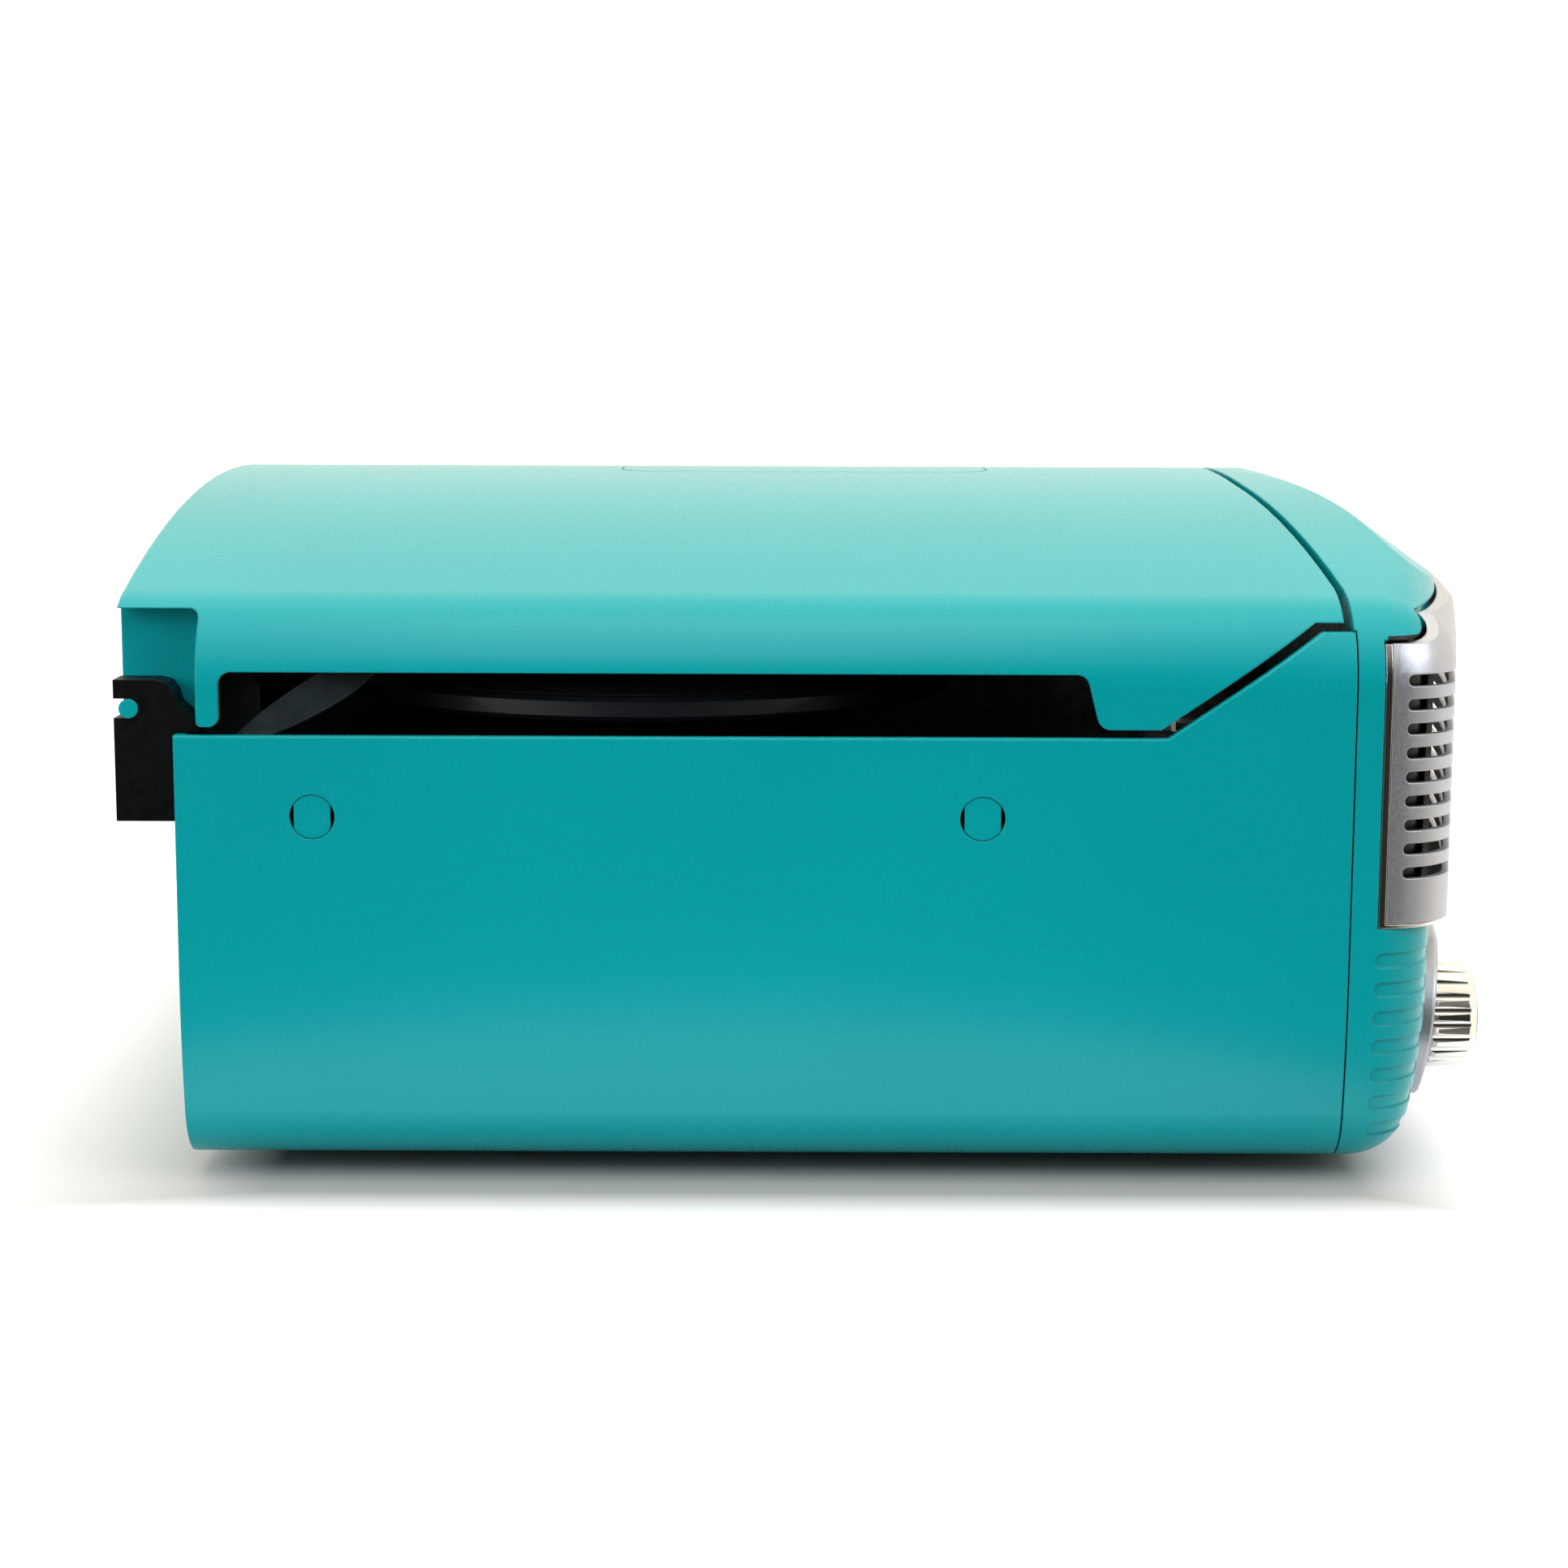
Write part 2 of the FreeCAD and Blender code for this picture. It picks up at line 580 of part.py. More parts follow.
def eyebrow(grow):
    """Front-view limit of the grille's upper edge, arched like the hood above it."""
    side = [(WIDE, 168.3), (208.5, 168.6)]
    knee, rise, crown = (203.5, 170.6), (196.5, 176.6), (0, 182.0)

    def at(place, mirror=1):
        return Vector(mirror * place[0], -FAR, place[1] + grow)

    right = [line(at(side[0]), at(side[1])), arc(at(side[1]), at(knee), at(rise))]
    left = [arc(at(rise, -1), at(knee, -1), at(side[1], -1)), line(at(side[1], -1), at(side[0], -1))]
    floor_right, floor_left = Vector(WIDE, -FAR, 0), Vector(-WIDE, -FAR, 0)
    edges = right + [arc(at(rise), at(crown), at(rise, -1))] + left
    edges += [line(at(side[0], -1), floor_left), line(floor_left, floor_right),
              line(floor_right, at(side[0]))]
    face = Part.Face(Part.Wire(Part.__sortEdges__(edges)))
    return face.extrude(Vector(0, FAR + get("seam_y") + 4 * CLEAR, 0))


def grille_floor():
    """The bezel's sunken floor behind the grille."""
    depth, wall = get("floor_depth"), get("wall")
    outer = outer_form(-depth, get("front_fillet") - depth)
    inner = outer_form(-depth - wall, get("front_fillet") - depth - wall)
    grow = 2 * wall
    rear = get("seam_y") - 2 * get("seam_gap")
    band = block((-WIDE, -FAR, get("grille_bottom") - grow), (WIDE, rear, get("roof_top")))
    return outer.cut(inner).common(band).common(eyebrow(grow)).common(hood_limit(0))


def speaker_openings():
    """Round holes for the two speakers and a window for the dial."""
    holes = []
    reach = FAR + get("speaker_y") + 2 * get("wall")
    for side in (-1, 1):
        start = Vector(side * get("speaker_x"), -FAR, get("speaker_z"))
        holes.append(Part.makeCylinder(get("speaker_hole"), reach, start, Vector(0, 1, 0)))
    half = get("dial_half")
    return holes + [block((-half, -FAR, get("dial_low")), (half, get("speaker_y"), get("dial_high")))]


def ribs():
    """Shallow finger-like grooves round the lower corners, one above the other."""
    grooves = []
    depth, margin = get("rib_depth"), 3.0
    skin = outer_form(margin, get("front_fillet") + margin)
    skin = skin.cut(outer_form(-depth, get("front_fillet") - depth))
    radius = get("rib_height") / 2
    start = get("rib_start_y") - radius
    for row in range(int(get("rib_count"))):
        z = get("rib_low") + row * get("rib_pitch")
        beside = pill(Vector(-WIDE, start, z), Vector(-WIDE, -FAR, z), radius, Vector(2 * WIDE, 0, 0))
        zone = skin.common(beside)
        for side in (-1, 1):
            inner_x = side * (get("knob_x") + get("plate_half_height") + CLEAR)
            across = pill(Vector(inner_x, -FAR, z), Vector(side * WIDE, -FAR, z), radius,
                          Vector(0, FAR + get("seam_y"), 0))
            grooves.append(zone.common(across))
    return grooves


def knob_cylinders(radius, front, rear):
    """A rod on each knob's axis, from front to rear."""
    rods = []
    for side in (-1, 1):
        start = Vector(side * get("knob_x"), front, get("knob_z"))
        rods.append(Part.makeCylinder(radius, rear - front, start, Vector(0, 1, 0)))
    return Part.makeCompound(rods)


def knob_pockets():
    """Round recesses that the knobs' rear ends turn in."""
    return knob_cylinders(get("knob_pocket"), -FAR, get("knob_back_y") + 0.5)


def knob_bosses():
    """Thickening behind the knob recesses."""
    floor_y = get("knob_back_y") + 0.5
    return knob_cylinders(get("knob_pocket") + 2.0, floor_y - 3.0, floor_y + 4.5)


def button_centres():
    return [(index - 2) * get("button_pitch") for index in range(5)]


def control_holes():
    """Shaft, button and headphone holes through the bezel's lower face."""
    holes = [knob_cylinders(get("shaft_hole"), -FAR, get("seam_y"))]
    play = 0.6
    half, tall = get("button_half") + play, get("button_height") / 2 + play
    for x in button_centres():
        holes.append(block((x - half, -FAR, get("knob_z") - tall),
                           (x + half, get("speaker_y"), get("knob_z") + tall)))
    jack = Vector(get("phones_x"), -FAR, get("knob_z"))
    holes.append(Part.makeCylinder(get("phones_radius") + 0.1, FAR + get("speaker_y"), jack, Vector(0, 1, 0)))
    return Part.makeCompound(holes)


def ledge_limit():
    """Everything under the grille's sloping top ledge, bowed like the front."""
    slope = math.radians(get("ledge_slope"))
    run = 30.0
    start = Vector(0, get("front_y"), get("ledge_high"))
    tip = Vector(0, start.y - run * math.cos(slope), start.z - run * math.sin(slope))
    deep = get("front_y") + get("front_radius") - 1.0
    corners = [start, tip, Vector(0, tip.y, -CLEAR), Vector(0, deep, -CLEAR),
               Vector(0, deep, start.z), start]
    return swept_front([line(first, second) for first, second in zip(corners, corners[1:])])


def make_grille():
    proud, thick = get("grille_proud"), get("grille_thick")
    rounding, gap = get("front_fillet"), 2 * get("grille_gap")
    inset, ledge_depth = get("grille_side_inset"), 9.0
    outer = outer_form_wide(proud, rounding + 2, inset)
    outer = outer.common(ledge_limit())
    inner = outer_form_wide(proud - thick, rounding, inset + thick)
    band = block((-WIDE, -FAR, get("grille_bottom")), (WIDE, get("grille_side_y"), get("roof_top")))
    shell = outer.cut(inner).common(band).common(eyebrow(-gap))
    lip = outer.common(band).common(eyebrow(-gap)).cut(eyebrow(-ledge_depth))
    below = block((-WIDE, -FAR, 0), (WIDE, FAR, get("slot_low")))
    lip = lip.cut(outer_form(get("lip_clear"), rounding)).cut(below)
    shell = shell.fuse(lip)
    for index in range(int(get("slot_count"))):
        shell = shell.cut(grille_slot(index))
    half = get("dial_half")
    window = block((-half, -FAR, get("dial_low")), (half, 0, get("dial_high")))
    return shape_feature("speaker_grille", shell.cut(window))


def outer_form_wide(proud, rounding, inset):
    """The outer form with its front pushed forward and its sides held in."""
    prism = cabinet_prism(-inset, get("front_y") - 90, get("lid_rear_y"))
    solid = prism.common(bowed_limit(proud)).Solids[0]
    edges = [edge for edge in solid.Edges if sharp_corner(solid, edge)]
    return solid.makeFillet(rounding, edges).common(hood_limit(proud - 1.5))


def grille_slot(index):
    """One level slot on each side of the dial, round-ended on the side and at the dial."""
    radius = get("slot_height") / 2
    z = get("slot_low") + index * get("slot_pitch")
    start = get("slot_start_y") - radius
    beside = pill(Vector(-WIDE, start, z), Vector(-WIDE, -FAR, z), radius, Vector(2 * WIDE, 0, 0))
    slots = []
    for side in (-1, 1):
        near_dial = side * (get("dial_half") + 12)
        across = pill(Vector(near_dial, -FAR, z), Vector(side * WIDE, -FAR, z), radius,
                      Vector(0, FAR, 0))
        slots.append(beside.common(across))
    return Part.makeCompound(slots)


def notch_blocks(grow):
    """The two rear corners of the lid that stand clear of the hinge brackets."""
    near, top, side = get("notch_y") - grow, get("notch_top") + grow, get("notch_x") - grow
    blocks = []
    for low_x, high_x in ((-WIDE, -side), (side, WIDE)):
        notch = block((low_x, near, 0), (high_x, FAR, top))
        corner = [edge for edge in notch.Edges if along_x(edge, near, top)]
        blocks.append(notch.makeFillet(get("skirt_corner") + grow, corner))
    return blocks[0].fuse(blocks[1])


def along_x(edge, y, z):
    """True on an edge that runs along X through the given y and z."""
    touch, span = 0.01, edge.BoundBox
    level = span.YLength < touch and span.ZLength < touch
    return level and abs(span.YMin - y) < touch and abs(span.ZMin - z) < touch


def record_slot():
    """The long opening in the lid's left skirt that a large record reaches through."""
    low = get("side_top") + get("foot_gap")
    front, rear, top = get("slot_front_y"), get("slot_rear_y"), get("slot_top")
    foot = front - get("slot_lean")
    below = low - CLEAR
    points = [(foot, below), (foot, low), (front, top), (rear, top), (rear, below)]
    slot = side_prism(points, -WIDE, -get("half_width") + 12)
    corners = [edge for edge in slot.Edges if along_x(edge, front, top) or along_x(edge, rear, top)]
    return slot.makeFillet(get("slot_corner"), corners)


def cd_window(half, height_low):
    """A round-cornered upright plug over the disc bay."""
    middle_x, middle_y, corner = get("cd_x"), get("cd_y"), 14.0
    plug = block((middle_x - half, middle_y - half, height_low),
                 (middle_x + half, middle_y + half, get("roof_top") + CLEAR))
    uprights = [edge for edge in plug.Edges if edge.BoundBox.ZLength > 1]
    return plug.makeFillet(corner, uprights)


def make_lid_shell():
    wall, gap, low = get("lid_wall"), get("lid_gap"), get("side_top") + get("foot_gap")
    region = side_prism(lid_outline(), -WIDE, WIDE)
    outer = cabinet_prism(0, get("seam_y") - CLEAR, get("lid_rear_y")).common(region)
    outer = outer.cut(front_of_seam(gap, get("arm_top"))).cut(notch_blocks(0))
    inner = cabinet_prism(-wall, get("seam_y") - 4 * CLEAR, get("lid_rear_y") - wall)
    shell = outer.cut(inner.cut(notch_blocks(wall))).cut(record_slot())
    foot = get("slot_front_y") - get("slot_lean")
    shell = shell.makeFillet(get("slot_corner"), [edge for edge in shell.Edges if along_x(edge, foot, low)])
    for y, rounding in ((get("slot_rear_y"), 3.0), (get("notch_y"), 1.6)):
        shell = shell.makeFillet(rounding, [edge for edge in shell.Edges if lower_left(edge, y, low)])
    roof_edges = [edge for edge in shell.Edges if rear_roof_edge(edge)]
    shell = shell.makeFillet(1.8, roof_edges)
    shell = shell.cut(cd_window(get("cd_half") + 0.6, get("cd_floor")))
    return shape_feature("lid_shell", shell.fuse(pivot_pins()))


def lower_left(edge, y, z):
    return along_x(edge, y, z) and edge.BoundBox.XMax < 0


def pivot_pins():
    """Round stubs on the lid's recessed walls that lie in the bracket bearings."""
    start, reach = get("notch_x") - 1, get("bracket_outer") + 0.8
    pins = []
    for side in (-1, 1):
        root = Vector(side * start, get("hinge_y"), get("hinge_z"))
        pins.append(Part.makeCylinder(get("pin_radius"), reach - start, root, Vector(side, 0, 0)))
    return pins


def rear_roof_edge(edge):
    """The lid's outer edge where its roof meets its rear wall."""
    middle = edge.valueAt((edge.FirstParameter + edge.LastParameter) / 2)
    on_rear = abs(edge.BoundBox.YMin - get("lid_rear_y")) < 0.01
    return on_rear and edge.BoundBox.YLength < 0.01 and middle.z > get("notch_top") + 2


def make_cd_door():
    """The part of the roof that lifts over the disc bay."""
    front, rear = get("cd_y") - 2 * get("cd_half"), get("cd_y") + 2 * get("cd_half")
    roof = cabinet_prism(0, front, rear).cut(cabinet_prism(-get("lid_wall"), front - CLEAR, rear + CLEAR))
    return shape_feature("cd_door", roof.common(cd_window(get("cd_half"), get("cd_floor"))))


def make_cd_chassis():
    """The disc bay under the door: a well with a floor, clipped under the roof."""
    middle_x, middle_y, floor = get("cd_x"), get("cd_y"), get("cd_floor")
    half, thick, deep = get("cd_half") + 6, get("lid_wall"), 10.0
    hub_radius, track_half, track_front, track_rear = 9.0, 8.0, 55.0, 12.0
    tray = block((middle_x - half, middle_y - half, floor - thick),
                 (middle_x + half, middle_y + half, get("roof_top")))
    tray = tray.common(cabinet_prism(-thick - 2 * get("deck_gap"), -WIDE, WIDE))
    well = Part.makeCylinder(get("disc_radius") + 2, 4 * deep, Vector(middle_x, middle_y, floor))
    hub_hole = Part.makeCylinder(hub_radius, 2 * deep, Vector(middle_x, middle_y, floor - deep))
    track = block((middle_x - track_half, middle_y - track_front, floor - deep),
                  (middle_x + track_half, middle_y - track_rear, floor + 1))
    return shape_feature("cd_chassis", tray.cut(well).cut(hub_hole).cut(track))


def make_lid_inner_cover():
    """The flat black lining under the lid, with posts that carry the disc bay."""
    gap, front = 0.3, get("seam_middle_y") + get("lid_gap") + get("lid_wall")
    wall, low = get("lid_wall") + gap, get("cover_low")
    high = low + get("cover_thick")
    inner = cabinet_prism(-wall, front, get("lid_rear_y") - wall)
    side = get("notch_x") - wall
    plate = block((-side, -WIDE, low), (side, WIDE, high))
    post_radius, spread = 4.0, 60
    length = get("cd_floor") - 2.6 - high
    posts = [Part.makeCylinder(post_radius, length, Vector(get("cd_x") + x, get("cd_y") + y, high))
             for x in (-spread, spread) for y in (-spread, spread)]
    return shape_feature("lid_inner_cover", inner.common(plate).fuse(posts))


def make_backing():
    """Black cloth-covered boards over the speaker openings, behind the grille."""
    gap, thick, depth = 0.2, 1.2, get("floor_depth") - 0.1
    outer = outer_form(-depth + thick + gap, get("front_fillet") - depth + thick + gap)
    skin = outer.cut(outer_form(-depth + gap, get("front_fillet") - depth + gap))
    low, high, rear = get("grille_bottom") + 2, get("dial_high") + 4, get("grille_side_y") - 12
    near = get("dial_half") + 3
    sides = [block((-WIDE, -FAR, low), (-near, rear, high)), block((near, -FAR, low), (WIDE, rear, high))]
    boards = [skin.common(side) for side in sides]
    return shape_feature("grille_backing", Part.makeCompound(boards))


def make_trim():
    """The bright strip along the grille's ends and lower edge."""
    gap, proud, low = 0.25, get("grille_proud"), get("grille_bottom")
    outer = outer_form_wide(proud - 1.2, get("front_fillet") + 1.5, 0.2)
    inner = outer_form_wide(-1.8, get("front_fillet") - 1.8, 1.8)
    wide_band = block((-WIDE, -FAR, low - get("trim_low")),
                      (WIDE, get("grille_side_y") + get("trim_side"), get("roof_top")))
    own_band = block((-WIDE, -FAR, low - gap), (WIDE, get("grille_side_y") + gap, get("roof_top") + CLEAR))
    strip = outer.cut(inner).common(wide_band).cut(own_band).common(eyebrow(-0.8))
    return shape_feature("grille_trim", strip)


def dial_patch(proud, thick, half, low, high):
    """A bowed panel in the dial window, following the front."""
    outer = bowed_limit(proud).cut(bowed_limit(proud - thick))
    return outer.common(block((-half, -FAR, low), (half, 0, high)))


def make_dial():
    """The clear window, and the printed scale behind it."""
    gap = 0.3
    half, low, high = get("dial_half") - gap, get("dial_low") + gap, get("dial_high") - gap
    shape_feature("dial_window", dial_patch(get("grille_proud") - 0.4, 2.0, half, low, high))
    shape_feature("dial_scale", dial_patch(-4.0, 1.5, half - 1, low + 1, high - 1))


def plate_outline():
    """Front-view stadium of the control plate."""
    radius = get("plate_half_height")
    left = Vector(-get("knob_x"), -FAR, get("knob_z"))
    right = Vector(get("knob_x"), -FAR, get("knob_z"))
    return pill(left, right, radius, Vector(0, FAR, 0))


def make_control_plate():
    """The silver plate round the knobs and buttons."""
    thick, rounding = get("plate_thick"), 1.2
    plate = bowed_limit(thick).cut(bowed_limit(0.0)).common(plate_outline())
    plate = plate.makeFillet(rounding, [edge for edge in plate.Edges if plate_rim(edge, thick)])
    return shape_feature("control_plate", plate.cut(control_holes()).cut(knob_pockets()))


def plate_rim(edge, thick):
    """The plate's front perimeter: the edges that stand the full thickness proud."""
    middle = edge.valueAt((edge.FirstParameter + edge.LastParameter) / 2)
    on_front = not bowed_limit(thick - 0.05).isInside(middle, 0.001, True)
    on_edge = abs(abs(middle.z - get("knob_z")) - get("plate_half_height")) < 0.01
    return on_front and (abs(middle.x) > get("knob_x") or on_edge)


# ---------------------------------------------------------------- case pieces


def make_bottom_plate():
    """Flat access plate over the window in the cabinet's floor."""
    plate = box(("-half_width+base_border", "seam_y+base_inset", "foot_height+wall"),
                ("half_width-base_border", "rear_y-base_inset", "foot_height+wall+base_thick"))
    holes = [cylinder((x, y, "foot_height"), "screw_hole", "2*wall+base_thick") for x, y in BASE_SCREWS]
    return keep("bottom_plate", cut(plate, *holes))


def make_feet():
    """Rubber feet with a softened lower edge."""
    lower_edge, soft = 3, 1.5
    feet = []
    for x, y in FOOT_PLACES:
        foot = doc.addObject("Part::Chamfer", "Foot")
        foot.Base = cylinder((x, y, "0"), "foot_radius", "foot_height+wall")
        foot.Edges = [(lower_edge, soft, soft)]
        feet.append(foot)
    return keep("rubber_feet", compound(feet))


def make_bottom_screws():
    """Screws driven up through the floor into the plate."""
    screws = []
    for x, y in BASE_SCREWS:
        head = cylinder((x, y, "foot_height-screw_head_depth"), "screw_head", "screw_head_depth-seat_gap")
        shank = cylinder((x, y, "foot_height-screw_head_depth"), "screw_shank", "screw_length")
        screws.append(fuse(head, shank))
    return keep("bottom_screws", compound(screws))


def make_plugs():
    """Round plugs with two flats, set in the cabinet's side pockets."""
    plugs = []
    for side, y in plug_centres():
        x = "half_width-plug_thick" if side > 0 else "-half_width+plug_sink"
        disc = cylinder((x, y, "plug_z"), "plug_radius-plug_fit", "plug_thick-plug_sink", "x")
        flats = box(("%s-1" % x, "%s-plug_flat" % y, "plug_z-2*plug_radius"),
                    ("%s+2*plug_thick" % x, "%s+plug_flat" % y, "plug_z+2*plug_radius"))
        plugs.append(common(disc, flats))
    return keep("side_screw_plugs", compound(plugs))


def make_side_screws():
    """Screws behind the plugs that hold the deck's side lugs."""
    screws = []
    for side, y in plug_centres():
        seat = "half_width-side_seat-side_head_depth" if side > 0 else "-half_width+side_seat"
        tip = "half_width-side_tip" if side > 0 else "-half_width+side_seat+side_head_depth-seat_gap"
        head = cylinder((seat, y, "plug_z"), "side_head", "side_head_depth", "x")
        rod = cylinder((tip, y, "plug_z"), "side_shank", "side_length", "x")
        screws.append(fuse(head, rod))
    return keep("side_screws", compound(screws))


def make_deck():
    """The black top plate: lugs down the sides and hinge posts at the rear corners."""
    low, inside = "deck_top-deck_thick", "half_width-wall-deck_gap"
    plate = box(("-(%s)" % inside, "seam_y+2*seat_gap", low), (inside, "rear_y-wall-deck_gap", "deck_top"))
    lugs = []
    for side, y in plug_centres():
        near = "half_width-wall-lug_thick" if side > 0 else "-(%s)" % inside
        far = inside if side > 0 else "-half_width+wall+lug_thick"
        lugs.append(box((near, "%s-lug_half" % y, "plug_z-lug_half"), (far, "%s+lug_half" % y, low)))
    posts = [rear_post("-post_outer", "-post_inner"), rear_post("post_inner", "post_outer")]
    rail = box(("-half_width+rail_inset", "seam_y+rail_front", "deck_top"),
               ("half_width-rail_inset", "seam_y+rail_front+rail_thick", "deck_top+rail_height"))
    pillar = box(("lever_x-1", "lever_y-pillar_half", "deck_top"),
                 ("lever_x+pillar_thick-1", "lever_y+pillar_half", "deck_top+pillar_height"))
    solid = fuse(plate, rail, pillar, *lugs, *posts)
    through = "2*deck_top"
    lever_bore = "lever_shaft+running_fit"
    holes = [cylinder(("lever_x-0.1", "lever_y", "lever_z"), lever_bore, "2*pillar_thick", "x"),
             cylinder(("lift_x", "lift_y", "0"), "lift_radius+running_fit", through),
             cylinder((PULLEY_X, PULLEY_Y, "0"), "pulley_radius+2", through),
             cylinder(("platter_x", "platter_y", "0"), "bearing_radius+0.02", through)]
    for low_y, high_y in SWITCH_SLOTS.values():
        holes.append(box(("switch_x-switch_slot", low_y, "0"), ("switch_x+switch_slot", high_y, through)))
    for side, y in plug_centres():
        start = "half_width-side_bore" if side > 0 else "-half_width"
        sink = "half_width-side_sink" if side > 0 else "-half_width-side_bore+side_sink"
        holes.append(cylinder((start, y, "plug_z"), "side_shank+0.1", "side_bore", "x"))
        holes.append(cylinder((sink, y, "plug_z"), "side_head+0.2", "side_bore", "x"))
    return keep("deck_plate", cut(solid, *holes))


def rear_post(low_x, high_x):
    """A post that stands up inside the lid's rear corner, with its front top edge rounded."""
    rounding = 4
    post = box((low_x, "post_front_y", "deck_top"), (high_x, "post_rear_y", "slot_top-post_gap"))
    doc.recompute()
    rounded = doc.addObject("Part::Fillet", "RoundedPost")
    rounded.Base = post
    edges = [index for index, edge in enumerate(post.Shape.Edges, start=1) if front_top_edge(edge)]
    rounded.Edges = [(index, rounding, rounding) for index in edges]
    return rounded


def front_top_edge(edge):
    return along_x(edge, get("post_front_y"), get("slot_top") - get("post_gap"))


PULLEY_X, PULLEY_Y = "platter_x+pulley_offset", "platter_y-pulley_offset"


def make_rear_panel():
    """Jack panel let into the rear wall, with a small drip lip over it."""
    panel = box(("panel_left+panel_gap", "rear_y-wall", "panel_low+panel_gap"),
                ("panel_right-panel_gap", "rear_y", "panel_high-panel_gap"))
    lip = box(("panel_left-panel_border", "rear_y", "panel_high-drip_low"),
              ("panel_right+panel_border", "rear_y+drip_proud", "plug_z-drip_high"))
    back = box(("panel_left-panel_border", "rear_y-wall-panel_back", "panel_low-panel_border"),
               ("panel_right+panel_border", "rear_y-wall", "panel_high+panel_border"))
    reach = "4*wall"
    holes = [cylinder((x, "rear_y-2*wall", z), "jack_bore+jack_wall+0.1", reach, "y") for x, z in JACK_PLACES]
    holes.append(box(("inlet_x-inlet_half-0.2", "rear_y-2*wall", "inlet_z-inlet_tall-0.2"),
                     ("inlet_x+inlet_half+0.2", "rear_y+2*wall", "inlet_z+inlet_tall+0.2")))
    return keep("rear_jack_panel", cut(fuse(panel, lip, back), *holes))


def make_rca_jacks():
    """Four phono sockets: sleeves that stand a little out of the rear panel."""
    jacks = []
    for x, z in JACK_PLACES:
        outer = cylinder((x, "rear_y-jack_behind", z), "jack_bore+jack_wall", "jack_length", "y")
        jacks.append(cut(outer, cylinder((x, "rear_y-jack_floor", z), "jack_bore", "jack_length", "y")))
    return keep("rca_jacks", compound(jacks))


def make_power_inlet():
    """A recessed two-pin inlet for a plug-in lead."""
    shell = box(("inlet_x-inlet_half", "rear_y-inlet_depth", "inlet_z-inlet_tall"),
                ("inlet_x+inlet_half", "rear_y+1", "inlet_z+inlet_tall"))
    wide, tall, behind = "inlet_half-inlet_wall", "inlet_tall-inlet_wall", "rear_y-inlet_depth"
    hollow = box(("inlet_x-(%s)" % wide, behind + "+2*inlet_wall", "inlet_z-(%s)" % tall),
                 ("inlet_x+" + wide, "rear_y+2*wall", "inlet_z+" + tall))
    pins = [cylinder(("inlet_x" + offset, behind + "+inlet_wall", "inlet_z"), "pin_half", "pin_length", "y")
            for offset in ("-pin_spread", "+pin_spread")]
    return keep("power_inlet", fuse(cut(shell, hollow), *pins))


def make_hinge_bracket(node, side):
    """An upright black bracket with a C-shaped bearing open to the rear."""
    low_mouth, high_mouth = "hinge_z-groove_mouth/2", "hinge_z+groove_mouth/2"
    front, foot = "rear_y+0.1", "side_top+0.4"
    points = [
        (front, "bracket_bottom"), ("bracket_rear_y", "bracket_bottom"),
        ("bracket_rear_y", low_mouth), ("bracket_rear_y", "bracket_top"),
        ("hinge_y-8", "bracket_top"), ("hinge_y-11.5", "bracket_top-1"),
        ("hinge_y-13.5", "bracket_top-4"), ("hinge_y-14", "hinge_z+2"),
        ("hinge_y-21", "side_top+2.5"), ("hinge_y-21", foot), (front, foot)]
    plate = padded("bracket_blank", "YZ_Plane", points, "bracket_outer-bracket_inner")
    del PARTS["bracket_blank"]
    bearing = circle_sketch(plate, "YZ_Plane", "Bearing", "hinge_y", "hinge_z", "groove_radius")
    mouth = outline_sketch(plate, "YZ_Plane", "Mouth", [
        ("hinge_y", low_mouth), ("bracket_rear_y+1", low_mouth),
        ("bracket_rear_y+1", high_mouth), ("hinge_y", high_mouth)])
    for sketch in (bearing, mouth):
        pocket = plate.newObject("PartDesign::Pocket", "Opening")
        pocket.Profile = sketch
        pocket.Reversed = True
        bind(pocket, Length="bracket_outer-bracket_inner")
    move(plate, "bracket_inner" if side > 0 else "-bracket_outer")
    holes = [cylinder((x, "rear_y", z), "hinge_screw+0.05", "hinge_screw_reach+0.1", "y")
             for x, z in hinge_screw_places() if x * side > 0]
    return keep(node, cut(plate, *holes))


def make_hinge_screws():
    """Screws from inside the cabinet that hold the brackets."""
    screws = []
    for x, z in hinge_screw_places():
        head = cylinder((x, "rear_y-wall-hinge_head/2", z), "hinge_head", "hinge_head/2", "y")
        length = "wall+seat_gap+hinge_screw_reach"
        shank = cylinder((x, "rear_y-wall-seat_gap", z), "hinge_screw", length, "y")
        screws.append(fuse(head, shank))
    return keep("hinge_screws", compound(screws))


def make_ribbon():
    """Flat ten-way lead that rises from the deck's corner into the lid."""
    thick, half = 1.2, 5.0
    route = [Vector(-207.5, 168, get("deck_top") + 0.1), Vector(-207.5, 147, 156.5),
             Vector(-191, 131, get("cover_low"))]
    runs = []
    for start, end in zip(route, route[1:]):
        across = (end - start).cross(Vector(1, 0, 0)).normalize() * half
        corners = [start - across, start + across, end + across, end - across]
        runs.append(Part.Face(Part.makePolygon(corners + corners[:1])).extrude(Vector(thick, 0, 0)))
    shape = runs[0].fuse(runs[1:])
    between = block((-WIDE, -WIDE, get("deck_top") + 0.05), (WIDE, WIDE, get("cover_low") - 0.1))
    return shape_feature("lid_ribbon_cable", shape.common(between))


# ---------------------------------------------------------------- turntable


